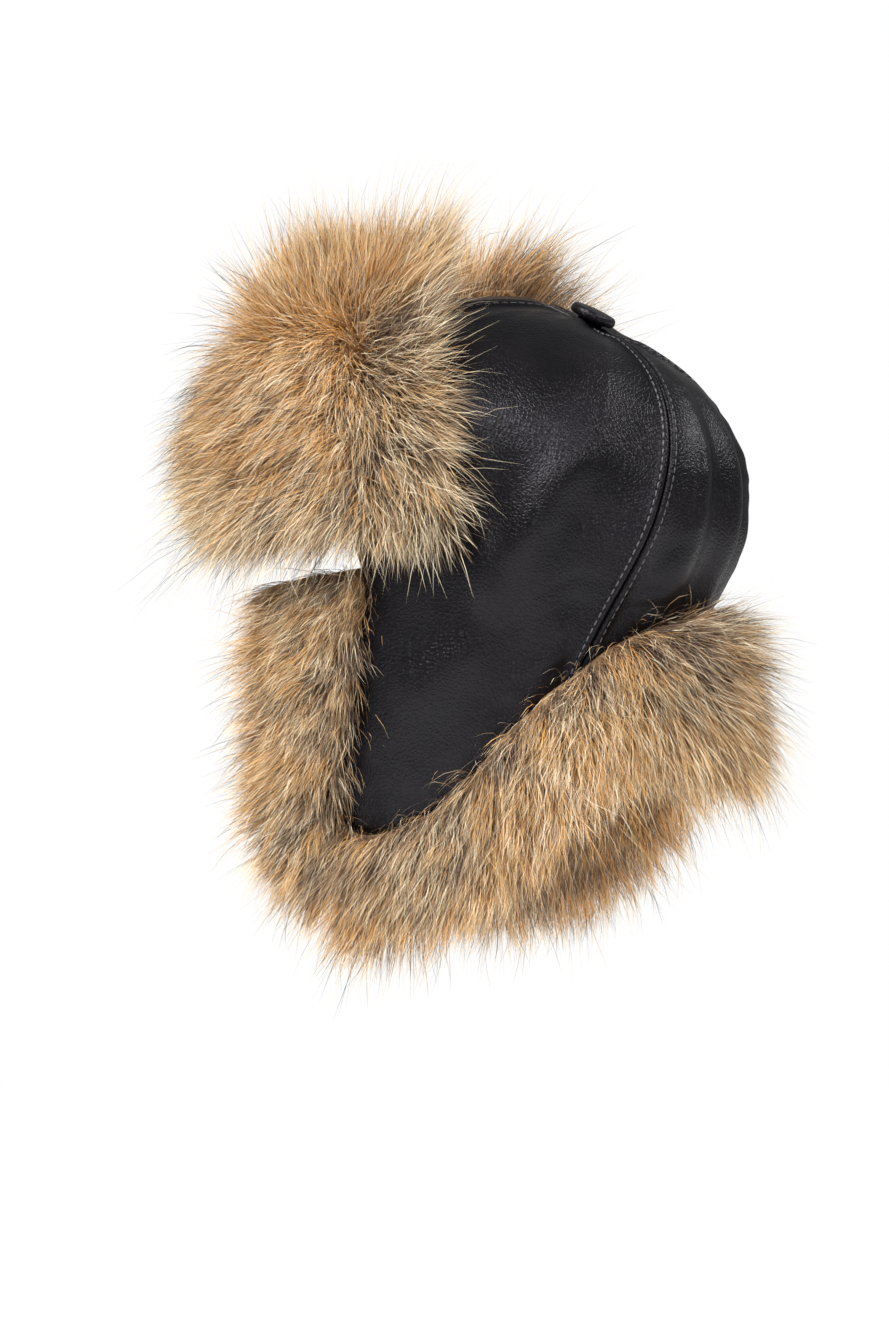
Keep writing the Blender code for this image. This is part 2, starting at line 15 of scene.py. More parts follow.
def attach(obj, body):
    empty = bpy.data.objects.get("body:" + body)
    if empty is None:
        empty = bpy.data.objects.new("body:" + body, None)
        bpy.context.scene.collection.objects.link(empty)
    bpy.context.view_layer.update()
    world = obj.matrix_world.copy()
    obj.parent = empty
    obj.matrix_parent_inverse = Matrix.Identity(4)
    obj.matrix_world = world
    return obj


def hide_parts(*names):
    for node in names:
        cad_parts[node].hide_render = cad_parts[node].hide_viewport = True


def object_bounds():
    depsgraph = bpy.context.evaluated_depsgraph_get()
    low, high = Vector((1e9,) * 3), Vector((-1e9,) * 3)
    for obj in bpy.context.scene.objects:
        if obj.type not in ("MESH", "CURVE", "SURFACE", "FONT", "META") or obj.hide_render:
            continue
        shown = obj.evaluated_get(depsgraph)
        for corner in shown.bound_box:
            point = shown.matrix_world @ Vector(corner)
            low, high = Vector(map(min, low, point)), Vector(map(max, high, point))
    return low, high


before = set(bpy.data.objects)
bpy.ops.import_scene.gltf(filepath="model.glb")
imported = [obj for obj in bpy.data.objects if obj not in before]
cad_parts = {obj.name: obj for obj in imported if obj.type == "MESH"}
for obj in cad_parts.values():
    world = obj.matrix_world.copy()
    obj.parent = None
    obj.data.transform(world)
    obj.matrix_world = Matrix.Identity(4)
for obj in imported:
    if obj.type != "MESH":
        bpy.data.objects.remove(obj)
cad_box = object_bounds()

# Crown, measured outside the leather
CROWN_WIDTH = 0.176
CROWN_LENGTH = 0.214
CROWN_RISE = 0.085  # from the widest level up to the top
CROWN_TILT = math.radians(30.0)  # the button sits this far behind the top
LEATHER = 0.002
JAW_INSET = 0.015
NAPE_INSET = 0.025
NAPE_START = 0.005
NAPE_HEIGHT = 0.070
SLUMP_DEPTH = 0.0038
SLUMP_RADIUS = 0.026
SLUMP_BACK = 0.018

# Lower edge of the leather, as drops below the widest level
BROW_DROP = 0.004
NECK_DROP = 0.051
FLAP_DROP = 0.139

# Seams, as azimuths about the button from the back towards an ear
BACK_SEAM_TOP = math.radians(28.0)
BACK_SEAM_FOOT = math.radians(33.0)
FRONT_SEAM_TOP = math.radians(145.0)
FRONT_SEAM_FOOT = math.radians(146.0)
SEAM_GAP = 0.00002  # closed to the eye, so no light shows through a seam
SEAM_PULL = 0.0014
SEAM_PULL_WIDTH = 0.014
RIDGE_WIDTH = 0.0038
RIDGE_HEIGHT = 0.0017
RIDGE_START = 0.012
RIDGE_FADE = 0.012

# Covered button on its stem
BUTTON_RADIUS = 0.0099
BUTTON_THICKNESS = 0.0042
BUTTON_CROWN = 0.0006
BUTTON_EDGE = 0.0015
BUTTON_LIFT = 0.0024
STEM_RADIUS = 0.0056
STEM_CLEARANCE = 0.0006
WASHER_RADIUS = 0.0088
WASHER_THICKNESS = 0.0008
DIMPLE_DEPTH = 0.0016
DIMPLE_RADIUS = 0.015
BUTTON_SIDES = 72
REST_GAP = 0.0004
BAND_GAP = 0.0012

# Relief of the leather
FOLD_HEIGHT = 0.0030
CREASE_HEIGHT = 0.0007  # fine creases round the button, along the seams and over the fur's edge
CREASE_LENGTH = 0.011  # from one crease to the next
CREASE_REACH = 0.016  # how far they run in from a seam or an edge
SWELL_HEIGHT = 0.0006  # slow swells all over
SWELL_LENGTH = 0.034

# Stitches
STITCH_PITCH = 0.0036
STITCH_LENGTH = 0.0029
THREAD_RADIUS = 0.00046
STITCH_PLACE = 0.86  # of the ridge's width from the seam

# Visor, a fur pad that stands round the front of the crown
VISOR_FOOT_BROW = 0.004
VISOR_FOOT_SIDE = 0.015
VISOR_TOP = 0.091
VISOR_PAD = 0.010
VISOR_SEAT = 0.0020
VISOR_LEAN = 0.050
VISOR_LEAN_POWER = 3.0
VISOR_END = math.radians(99.0)
VISOR_RAKE = math.radians(16.0)

# Fur bands along the leather's lower edge
TRIM_PAD = 0.010
EAR_TRIM_WIDTH = 0.038
EAR_TRIM_TIP_WIDTH = 0.030
NECK_TRIM_WIDTH = 0.034
NECK_TRIM_BACK_WIDTH = 0.056
NECK_FLARE = math.radians(40.0)
TRIM_GAP = 0.0008
TRIM_MEET = math.radians(60.0)
EAR_TRIM_TOP = math.radians(94.0)

# Mesh steps
SEAM_ROOM = 0.22
GORE_CELL = 0.0022  # the leather's grid, about this fine
PAD_CELL = 0.0040  # the fur pads' grid
PAD_AROUND = 40  # points round a pad's section

# Room for the hairs outside the solids' box: a share of each side and a length more, less a little to spare.
# They start to bend back so far past the box in x, y and z.
ROOM_SHARE = 0.03
ROOM_EXTRA = 0.010
ROOM_SPARE = 0.0015
BEND_START = (-0.010, 0.004, 0.006)

HALF_WIDTH = CROWN_WIDTH / 2
HALF_LENGTH = CROWN_LENGTH / 2
CENTRE_HEIGHT = LEATHER - CROWN_RISE
POLE_HOLE = (STEM_RADIUS + STEM_CLEARANCE) / CROWN_RISE

# The leather's lower edge from the back centre to the brow: azimuth in degrees about the button, the drop
# that the row follows, and its share of that drop.
EDGE = (
    (0.0, NECK_DROP, 1.00),
    (14.0, NECK_DROP, 1.05),
    (25.0, NECK_DROP, 1.18),
    (33.0, FLAP_DROP, 0.52),
    (38.8, FLAP_DROP, 0.60),
    (43.0, FLAP_DROP, 0.71),
    (45.5, FLAP_DROP, 0.83),
    (49.0, FLAP_DROP, 0.94),
    (57.5, FLAP_DROP, 1.00),
    (65.5, FLAP_DROP, 0.95),
    (71.5, FLAP_DROP, 0.81),
    (78.0, FLAP_DROP, 0.64),
    (83.5, FLAP_DROP, 0.47),
    (92.0, FLAP_DROP, 0.24),
    (104.0, FLAP_DROP, 0.11),
    (125.0, BROW_DROP, 1.50),
    (150.0, BROW_DROP, 1.05),
    (180.0, BROW_DROP, 1.00),
)

# A seam's raised allowance: distance from the seam as a share of RIDGE_WIDTH, height as a share of
# RIDGE_HEIGHT. It dips where the stitches press it down.
RIDGE = (
    (0.00, -0.10),
    (0.12, 0.50),
    (0.30, 0.95),
    (0.52, 1.00),
    (0.72, 0.86),
    (0.86, 0.58),
    (0.98, 0.70),
    (1.14, 0.42),
    (1.40, 0.00),
)

# Soft folds and dents: azimuth and polar angle of the middle in degrees, the way the fold runs in degrees
# from straight down, half its length and half its width as shares of the crown's rise, and its height as
# a share of FOLD_HEIGHT, below nought for a dent.
SIDE_FOLDS = (
    (58.0, 78.0, 6.0, 0.34, 0.105, 0.90),
    (66.0, 96.0, -38.0, 0.30, 0.105, 0.95),
    (72.0, 84.0, 12.0, 0.34, 0.150, -1.00),
    (47.0, 84.0, -14.0, 0.36, 0.120, -0.80),
    (52.0, 108.0, -20.0, 0.30, 0.120, -0.55),
    (60.0, 122.0, 20.0, 0.26, 0.120, 0.60),
    (52.0, 52.0, 0.0, 0.30, 0.220, 0.50),
)
BACK_FOLDS = (
    (17.0, 66.0, 2.0, 0.60, 0.085, 0.90),
    (8.0, 70.0, -3.0, 0.66, 0.085, -0.90),
    (-1.0, 66.0, 3.0, 0.66, 0.085, 0.80),
    (-10.0, 70.0, -3.0, 0.62, 0.085, -0.90),
    (-18.0, 66.0, 3.0, 0.60, 0.080, 0.80),
)

# The visor pad's section from its foot up the outside and down the inside: height as a share of the
# visor's own, and depth in front of the inner face as a share of VISOR_PAD.
VISOR_SECTION = (
    (0.020, 0.00),
    (-0.010, 0.70),
    (0.120, 1.00),
    (0.270, 1.08),
    (0.420, 1.10),
    (0.570, 1.06),
    (0.720, 0.98),
    (0.870, 0.80),
    (1.000, 0.25),
    (0.930, -0.10),
    (0.600, 0.00),
    (0.300, 0.00),
)

# A band's section: distance from the leather's edge as a share of the band's width, and height over the
# outside of the leather as a share of TRIM_PAD.
TRIM_SECTION = (
    (0.00, 0.30),
    (0.22, 0.52),
    (0.50, 0.56),
    (0.78, 0.40),
    (1.00, 0.00),
    (0.92, -0.42),
    (0.45, -0.62),
    (0.00, -0.55),
)


def ease(share):
    """A smooth step from 0 to 1."""
    share = np.clip(share, 0.0, 1.0)
    return share * share * (3.0 - 2.0 * share)


def unit(vector):
    return vector / np.maximum(np.linalg.norm(vector, axis=-1, keepdims=True), 1e-12)


def side_half(z):
    return HALF_WIDTH - JAW_INSET * (np.minimum(z, 0.0) / FLAP_DROP) ** 2


def back_half(z):
    return HALF_LENGTH - NAPE_INSET * ease((-z - NAPE_START) / NAPE_HEIGHT)


def form_level(point):
    """Below 1 inside the head form and above 1 outside it, for points about the head's centre."""
    x, y, z = point[..., 0], point[..., 1], point[..., 2]
    length = np.where(y > 0.0, back_half(z), HALF_LENGTH)
    rise = np.maximum(z, 0.0) / CROWN_RISE
    return (x / side_half(z)) ** 2 + (y / length) ** 2 + rise**2


def tilted(azimuth, polar):
    """The direction at an azimuth and a polar angle about the button's axis."""
    azimuth, polar = np.broadcast_arrays(azimuth, polar)
    across = np.sin(polar) * np.sin(azimuth)
    back = np.sin(polar) * np.cos(azimuth)
    up = np.cos(polar)
    sin_tilt, cos_tilt = math.sin(CROWN_TILT), math.cos(CROWN_TILT)
    return np.stack([across, back * cos_tilt + up * sin_tilt, up * cos_tilt - back * sin_tilt], -1)


def form_point(azimuth, polar):
    """The point of the head form in a direction, about the head's centre."""
    direction = tilted(azimuth, polar)
    near = np.zeros(direction.shape[:-1])
    far = np.full(direction.shape[:-1], 3.0 * (FLAP_DROP + HALF_LENGTH))
    for _ in range(34):
        middle = (near + far) / 2
        outside = form_level(direction * middle[..., None]) > 1.0
        far = np.where(outside, middle, far)
        near = np.where(outside, near, middle)
    return direction * near[..., None]


def form_normal(point):
    step = LEATHER / 10
    slopes = [form_level(point + step * axis) - form_level(point - step * axis) for axis in np.eye(3)]
    return unit(np.stack(slopes, -1))


def smooth_curve(knots, values, where):
    """A monotone cubic through the values, which never passes them."""
    gaps = np.diff(knots)
    steps = np.diff(values) / gaps
    slopes = np.zeros(len(knots))
    for i in range(1, len(knots) - 1):
        if steps[i - 1] * steps[i] > 0.0:
            early = 2 * gaps[i] + gaps[i - 1]
            late = gaps[i] + 2 * gaps[i - 1]
            slopes[i] = (early + late) / (early / steps[i - 1] + late / steps[i])
    cell = np.clip(np.searchsorted(knots, where, side="right") - 1, 0, len(gaps) - 1)
    t = (where - knots[cell]) / gaps[cell]
    rest = 1.0 - t
    ends = (1 + 2 * t) * rest**2 * values[cell] + t**2 * (3 - 2 * t) * values[cell + 1]
    bends = t * rest**2 * slopes[cell] - t**2 * rest * slopes[cell + 1]
    return ends + bends * gaps[cell]


def polar_at_drop(azimuth, drop):
    """The polar angle where the head form has come down by a drop below its widest level."""
    high = np.full(azimuth.shape, math.radians(40.0))
    low = np.full(azimuth.shape, math.radians(176.0))
    for _ in range(30):
        middle = (high + low) / 2
        below = form_point(azimuth, middle)[..., 2] < -drop
        low = np.where(below, middle, low)
        high = np.where(below, high, middle)
    return (high + low) / 2


def edge_knots():
    """The edge table's azimuths and drops, and how far along the edge its rows lie."""
    azimuth = np.radians([row[0] for row in EDGE])
    drop = np.array([row[1] * row[2] for row in EDGE])
    points = form_point(azimuth, polar_at_drop(azimuth, drop))
    run = np.concatenate([[0.0], np.cumsum(np.linalg.norm(np.diff(points, axis=0), axis=1))])
    return azimuth, drop, run


EDGE_AZIMUTH, EDGE_DROPS, EDGE_RUN = edge_knots()
BROW_RUN = EDGE_RUN[-1]


def edge_at(run):
    """Azimuth and polar angle of the leather's edge at a distance from the back."""
    left = BROW_RUN - np.abs(BROW_RUN - np.abs(run))
    azimuth = smooth_curve(EDGE_RUN, EDGE_AZIMUTH, left)
    polar = polar_at_drop(azimuth, smooth_curve(EDGE_RUN, EDGE_DROPS, left))
    azimuth = np.where(run < 0.0, -azimuth, azimuth)
    return np.where(run > BROW_RUN, 2 * math.pi - azimuth, azimuth), polar


def run_at(azimuth):
    return float(np.interp(azimuth, EDGE_AZIMUTH, EDGE_RUN))


def edge_slant(run):
    """How far the edge runs for each length round the button's axis."""
    ends = run + np.array([-RIDGE_WIDTH / 2, RIDGE_WIDTH / 2])
    azimuth, polar = edge_at(ends)
    from_axis = np.linalg.norm(form_point(azimuth, polar), axis=-1) * np.sin(polar)
    return RIDGE_WIDTH / ((azimuth[1] - azimuth[0]) * from_axis.mean())


BACK_RUN = run_at(BACK_SEAM_FOOT)
FRONT_RUN = run_at(FRONT_SEAM_FOOT)


def swell(place, length):
    """A slow, smooth unevenness between -1 and 1 over places in space."""
    x, y, z = (2 * math.pi * place[..., i] / length for i in range(3))
    waves = np.sin(x + 1.3 * np.sin(0.7 * y + 0.4)) + np.sin(0.8 * y + 1.1 * np.sin(0.9 * z + 1.9))
    return (waves + np.sin(0.9 * z + 1.2 * np.sin(0.8 * x + 2.7))) / 3


def folds(azimuth, polar, table):
    """How far the folds of a table lift the leather."""
    height = np.zeros(azimuth.shape)
    for middle, down, turn, half_length, half_width, share in table:
        across = (azimuth - math.radians(middle)) * np.sin(polar) * HALF_LENGTH
        along = (polar - math.radians(down)) * HALF_LENGTH
        sin_turn, cos_turn = math.sin(math.radians(turn)), math.cos(math.radians(turn))
        off = (across * cos_turn - along * sin_turn) / (half_width * CROWN_RISE)
        far = (across * sin_turn + along * cos_turn) / (half_length * CROWN_RISE)
        height = height + share * FOLD_HEIGHT * np.exp(-(off**2) - far**4)
    return height


def slump(azimuth, polar):
    """How far the back slope and the button's dimple lie under the plain dome."""
    across = polar * CROWN_RISE * np.sin(azimuth)
    back = polar * CROWN_RISE * np.cos(azimuth)
    from_slope = (across**2 + (back - SLUMP_BACK) ** 2) / SLUMP_RADIUS**2
    from_button = (across**2 + back**2) / DIMPLE_RADIUS**2
    return SLUMP_DEPTH * np.exp(-from_slope) + DIMPLE_DEPTH * np.exp(-from_button)


def creases(azimuth, polar, point, seam_distance, edge_distance):
    """Fine creases: rays round the button, and short pulls that leave the seams and the fur's edge."""
    from_button = polar * CROWN_RISE
    rays = np.sin(11 * azimuth + 2.2 * np.sin(3 * azimuth)) * np.exp(-((from_button - 0.017) / 0.011) ** 2)
    along = (point[..., 2] - 0.4 * point[..., 1]) * 2 * math.pi / CREASE_LENGTH
    wander = 2.5 * swell(point, 3 * CREASE_LENGTH)
    near_seam = np.exp(-(((seam_distance - 1.6 * RIDGE_WIDTH) / CREASE_REACH) ** 2))
    pulls = np.sin(along + wander) * near_seam * ease(seam_distance / RIDGE_WIDTH - 1.0)
    round_edge = (point[..., 1] + 0.5 * point[..., 0]) * 2 * math.pi / (1.6 * CREASE_LENGTH)
    tucks = np.sin(round_edge + wander) * np.exp(-((edge_distance / CREASE_REACH) ** 2))
    return CREASE_HEIGHT * (0.8 * rays + 0.45 * pulls + 0.8 * tucks)


def relief(azimuth, polar, table, seam_distance, edge_distance, point):
    """The leather's height over the head form."""
    free = ease((seam_distance - RIDGE_WIDTH) / SEAM_PULL_WIDTH)
    reach, rise = zip(*RIDGE)
    raised = ease((polar * CROWN_RISE - RIDGE_START) / RIDGE_FADE)
    ridge = RIDGE_HEIGHT * raised * np.interp(seam_distance / RIDGE_WIDTH, reach, rise)
    soft = folds(azimuth, polar, table) + SWELL_HEIGHT * swell(point, SWELL_LENGTH)
    fine = creases(azimuth, polar, point, seam_distance, edge_distance)
    return soft * free + fine - SEAM_PULL * (1.0 - free) + ridge - slump(azimuth, polar)


def placed(point):
    """From the head's centre to the part's origin."""
    return point + np.array([0.0, 0.0, CENTRE_HEIGHT])


def seam_steps():
    """Distances from a seam where each gore has a column of points."""
    return np.array([SEAM_GAP / 2] + [row[0] * RIDGE_WIDTH for row in RIDGE[1:]])


def seam_squeeze(width):
    return np.minimum(1.0, SEAM_ROOM * width / seam_steps()[-1])


def places_across(width, steps):
    """Distances across a gore of a width: the seam columns at both sides and even steps between them."""
    near = seam_steps()
    squeeze = seam_squeeze(width)
    start = np.outer(near, squeeze)
    room = width - 2 * near[-1] * squeeze
    inner = near[-1] * squeeze + np.outer(np.arange(1, steps) / steps, room)
    return np.concatenate([start, inner, width - start[::-1]])


def gore_points(tops, runs, table):
    """Points of one gore between two seams, given by their azimuths at the button and their places on the
    edge."""
    steps = round((runs[1] - runs[0]) / GORE_CELL / 1.5)
    middle_azimuth, middle_polar = edge_at(np.array([(runs[0] + runs[1]) / 2]))
    rows = round(float(middle_polar[0]) * HALF_LENGTH / GORE_CELL)
    down = np.linspace(0.0, 1.0, rows + 1)
    near = seam_steps()
    foot_run = runs[0] + places_across(np.array([runs[1] - runs[0]]), steps)
    for i, distance in enumerate(near):
        foot_run[i] = runs[0] + distance * edge_slant(runs[0])
        foot_run[-1 - i] = runs[1] - distance * edge_slant(runs[1])
    foot_azimuth, foot_polar = edge_at(foot_run)
    polar = POLE_HOLE + (foot_polar - POLE_HOLE) * down
    hole_radius = POLE_HOLE * CROWN_RISE
    top_azimuth = tops[0] + places_across(np.array([(tops[1] - tops[0]) * hole_radius]), steps) / hole_radius
    azimuth = top_azimuth + (foot_azimuth - top_azimuth) * down**2
    feet = edge_at(np.array(runs))[0]
    first = tops[0] + (feet[0] - tops[0]) * down**2
    last = tops[1] + (feet[1] - tops[1]) * down**2
    from_axis = np.linalg.norm(form_point(azimuth, polar), axis=-1) * np.sin(polar)
    squeeze = seam_squeeze((last - first) * from_axis)
    for i, distance in enumerate(near):
        azimuth[i] = first + distance * squeeze[i] / from_axis[i]
        azimuth[-1 - i] = last - distance * squeeze[-1 - i] / from_axis[-1 - i]
    seam_distance = np.minimum(azimuth - first, last - azimuth) * from_axis / squeeze
    edge_distance = (foot_polar - polar) * HALF_LENGTH
    point = form_point(azimuth, polar)
    height = relief(azimuth, polar, table, seam_distance, edge_distance, point)
    return placed(point + form_normal(point) * height[..., None])


class Wire:
    """A node's output that takes part in arithmetic, as a number or as a vector."""

    def __init__(self, net, socket):
        self.net = net
        self.socket = socket

    def __add__(self, other):
        return self.net.maths("ADD", self, other)

    def __radd__(self, other):
        return self.net.maths("ADD", other, self)

    def __sub__(self, other):
        return self.net.maths("SUBTRACT", self, other)

    def __rsub__(self, other):
        return self.net.maths("SUBTRACT", other, self)

    def __mul__(self, other):
        return self.net.maths("MULTIPLY", self, other)

    def __rmul__(self, other):
        return self.net.maths("MULTIPLY", other, self)

    def __truediv__(self, other):
        return self.net.maths("DIVIDE", self, other)

    def __rtruediv__(self, other):
        return self.net.maths("DIVIDE", other, self)

    def __pow__(self, other):
        return self.net.maths("POWER", self, other)

    def __lt__(self, other):
        return self.net.maths("LESS_THAN", self, other)

    def __gt__(self, other):
        return self.net.maths("GREATER_THAN", self, other)


class Net:
    """Adds nodes to one tree, for a material or for geometry."""

    def __init__(self, tree):
        self.tree = tree

    def add(self, kind, settings=None, values=None, output=None):
        node = self.tree.nodes.new(kind)
        for name, value in (settings or {}).items():
            setattr(node, name, value)
        for key, value in (values or {}).items():
            self.feed(node, key, value)
        return self.out(node, output)

    def out(self, node, output=None):
        open_outputs = [socket for socket in node.outputs if socket.enabled]
        if output is None:
            return Wire(self, open_outputs[0]) if open_outputs else node
        return Wire(self, next(socket for socket in open_outputs if socket.name == output))

    def feed(self, node, key, value):
        if isinstance(key, int):
            socket = node.inputs[key]
        else:
            socket = next(socket for socket in node.inputs if socket.enabled and socket.name == key)
        if isinstance(value, Wire):
            self.tree.links.new(value.socket, socket)
        else:
            socket.default_value = value

    def is_vector(self, value):
        if isinstance(value, Wire):
            return value.socket.type == "VECTOR"
        return isinstance(value, tuple)

    def maths(self, operation, first, second):
        if not (self.is_vector(first) or self.is_vector(second)):
            return self.add("ShaderNodeMath", {"operation": operation}, {0: first, 1: second})
        if self.is_vector(first) and self.is_vector(second):
            return self.add("ShaderNodeVectorMath", {"operation": operation}, {0: first, 1: second})
        vector, number = (first, second) if self.is_vector(first) else (second, first)
        return self.add("ShaderNodeVectorMath", {"operation": "SCALE"}, {0: vector, 3: number})

    def number(self, operation, value):
        return self.add("ShaderNodeMath", {"operation": operation}, {0: value})

    def vector(self, operation, first, second=None):
        values = {0: first} if second is None else {0: first, 1: second}
        return self.add("ShaderNodeVectorMath", {"operation": operation}, values)

    def split(self, vector):
        node = self.tree.nodes.new("ShaderNodeSeparateXYZ")
        self.feed(node, 0, vector)
        return [Wire(self, socket) for socket in node.outputs]

    def join(self, x, y, z):
        return self.add("ShaderNodeCombineXYZ", None, {0: x, 1: y, 2: z})

    def fade(self, value, low, high):
        """A smooth step as a value goes from low to high."""
        settings = {"interpolation_type": "SMOOTHSTEP"}
        return self.add("ShaderNodeMapRange", settings, {"Value": value, "From Min": low, "From Max": high})

    def blend(self, share, first, second):
        """A mix of two colours."""
        return self.add("ShaderNodeMix", {"data_type": "RGBA"}, {0: share, 6: first, 7: second})

    def ramp(self, share, stops):
        """A colour ramp through (place, colour) stops."""
        node = self.tree.nodes.new("ShaderNodeValToRGB")
        ends = node.color_ramp.elements
        while len(ends) < len(stops):
            ends.new(1.0)
        for end, (place, colour) in zip(ends, stops):
            end.position = place
            end.color = (*colour, 1.0)
        self.feed(node, 0, share)
        return self.out(node)


def colour(text):
    """Linear red, green and blue of a colour written as six hexadecimal digits."""
    parts = [int(text[i : i + 2], 16) / 255 for i in (0, 2, 4)]
    return tuple(part / 12.92 if part <= 0.04045 else ((part + 0.055) / 1.055) ** 2.4 for part in parts)


def solid(text):
    return (*colour(text), 1.0)


def new_material(name, paint):
    """A material whose Principled shader is fed by paint(net), which returns values or wires by socket."""
    made = bpy.data.materials.new(name)
    made.use_nodes = True
    net = Net(made.node_tree)
    shader = made.node_tree.nodes["Principled BSDF"]
    for key, value in paint(net).items():
        net.feed(shader, key, value)
    return made


def bump(net, height, strength, distance):
    return net.add("ShaderNodeBump", None, {"Height": height, "Strength": strength, "Distance": distance})


def noise(net, place, scale, detail=2.0, roughness=0.5):
    values = {"Vector": place, "Scale": scale, "Detail": detail, "Roughness": roughness}
    return net.add("ShaderNodeTexNoise", None, values)


def leather_paint(net):
    """Nappa: near black with a faint violet cast, a pebbled grain and a gloss that varies in patches."""
    place = net.add("ShaderNodeTexCoord", None, None, "Object")
    cells = net.add(
        "ShaderNodeTexVoronoi", {"feature": "DISTANCE_TO_EDGE"}, {"Vector": place, "Scale": 620.0}
    )
    grain = net.fade(cells, 0.0, 0.30)
    pores = noise(net, place, 1900.0, 3.0)
    patches = noise(net, place, 30.0, 3.0)
    crackle = noise(net, place, 190.0, 4.0, 0.6)
    height = grain * 0.6 + pores * 0.35 + crackle * 0.9
    tint = net.blend(net.fade(patches, 0.35, 0.7), solid("0a090b"), solid("121013"))
    gloss = 0.22 + 0.12 * patches + 0.06 * pores
    return {
        "Base Color": tint,
        "Roughness": gloss,
        "Specular IOR Level": 0.20,
        "Specular Tint": (0.93, 0.90, 1.0, 1.0),
        "Normal": bump(net, height, 0.55, 0.00030),
    }


def thread_paint(net):
    place = net.add("ShaderNodeTexCoord", None, None, "Object")
    twist = noise(net, place, 3000.0, 1.0)
    return {"Base Color": solid("4a474c"), "Roughness": 0.30 + 0.2 * twist, "Normal": bump(net, twist, 0.3, 0.0001)}


# The fur's colours by tone, from dark to cream: at the root, in the middle and at the tip of a hair
TONES = (
    (0.00, "2a1e18", "3d2c22", "574232"),
    (0.25, "5b483c", "927b66", "b9a387"),
    (0.50, "8a6a4b", "cda574", "e6c99c"),
    (0.75, "7c4c1d", "cf8f3c", "e6b66c"),
    (1.00, "b09672", "e8d4b0", "fbf1dc"),
)
HAIR_MAP = "HairMap"
KINDS = 3  # plain hairs, hairs with a black tip and hairs with a cream tip that is partly the hair's own cream band and partly a painted backlit highlight


def hair_paint(net):
    """A hair's map holds its kind and tone across and its length up, so one palette paints every hair."""
    place = net.add("ShaderNodeUVMap", {"uv_map": HAIR_MAP})
    across, up, _ = net.split(place)
    kind = net.number("FLOOR", across * KINDS)
    tone = (across * KINDS - kind - 0.1) / 0.8
    root, middle, tip = (
        net.ramp(tone, [(row[0], colour(row[part])) for row in TONES]) for part in (1, 2, 3)
    )
    shade = net.blend(net.fade(up, 0.10, 0.50), root, middle)
    shade = net.blend(net.fade(up, 0.50, 0.95), shade, tip)
    black_tip = (kind > 0.5) * (kind < 1.5)
    # The cream tip is partly the hair's own cream band and partly a painted highlight: the light that shines
    # through the tips.
    cream_and_highlight_tip = kind > 1.5
    shade = net.blend(black_tip * net.fade(up, 0.52, 0.66), shade, solid("120e10"))
    dark_band = cream_and_highlight_tip * net.fade(up, 0.28, 0.40) * (1.0 - net.fade(up, 0.52, 0.62))
    shade = net.blend(dark_band * 0.75, shade, solid("2e2018"))
    # Cream at the tip: partly real colour, partly painted highlight
    shade = net.blend(cream_and_highlight_tip * net.fade(up, 0.55, 0.66), shade, solid("eadbbb"))
    return {"Base Color": shade, "Roughness": 0.62 - 0.16 * up}


def underfur_paint(net):
    """The matted fur under the hairs, which shows only between them."""
    place = net.add("ShaderNodeTexCoord", None, None, "Object")
    tufts = noise(net, place, 150.0, 4.0, 0.6)
    drift = noise(net, place, 22.0, 2.0)
    shade = net.blend(net.fade(tufts, 0.3, 0.7), solid("5b4330"), solid("b08c62"))
    shade = net.blend(net.fade(drift, 0.45, 0.65) * 0.5, shade, solid("7a6452"))
    return {"Base Color": shade, "Roughness": 0.85, "Normal": bump(net, tufts, 0.8, 0.002)}


def floor_paint(net):
    place = net.add("ShaderNodeTexCoord", None, None, "Object")
    return {
        "Base Color": solid("f4f3f1"),
        "Roughness": 0.7 + 0.1 * noise(net, place, 3.0),
        "Emission Color": (1.0, 1.0, 1.0, 1.0),
        "Emission Strength": 0.45,
    }


def new_piece(name, mesh, material, slot, *nodes):
    """A finished piece on the root body, which stands for the CAD nodes named."""
    if material is not None:
        mesh.materials.clear()
        mesh.materials.append(material)
    thing = bpy.data.objects.new(name, mesh)
    bpy.context.scene.collection.objects.link(thing)
    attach(thing, "root")
    if nodes:
        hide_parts(*nodes)
    return thing


def settled(thing):
    """The object's evaluated mesh as a plain one. The object itself is removed."""
    depsgraph = bpy.context.evaluated_depsgraph_get()
    mesh = bpy.data.meshes.new_from_object(thing.evaluated_get(depsgraph))
    bpy.data.objects.remove(thing, do_unlink=True)
    return mesh


def draft(name, mesh):
    thing = bpy.data.objects.new(name, mesh)
    bpy.context.scene.collection.objects.link(thing)
    return thing


def grid_mesh(name, points, flip=False):
    """A mesh through a grid of points."""
    columns, rows = points.shape[0], points.shape[1]
    index = np.arange(columns * rows).reshape(columns, rows)
    corners = np.stack([index[:-1, :-1], index[:-1, 1:], index[1:, 1:], index[1:, :-1]], -1).reshape(-1, 4)
    if flip:
        corners = corners[:, ::-1]
    mesh = bpy.data.meshes.new(name)
    mesh.from_pydata(points.reshape(-1, 3).tolist(), [], corners.tolist())
    mesh.shade_smooth()
    return mesh


def leather_gore(name, tops, runs, table, side):
    """One gore of leather with its thickness, and the lines that its stitches follow."""
    points = gore_points(tops, runs, table) * np.array([side, 1.0, 1.0])
    mesh = grid_mesh(name, points, flip=side > 0)
    thing = draft(name, mesh)
    shell = thing.modifiers.new("Thickness", "SOLIDIFY")
    shell.thickness = LEATHER
    shell.offset = -1.0
    new_piece(name, settled(thing), black_leather, "black_leather", name.replace("_leather", ""))
    column = [row[0] for row in RIDGE].index(STITCH_PLACE)
    return points[column], points[-1 - column]


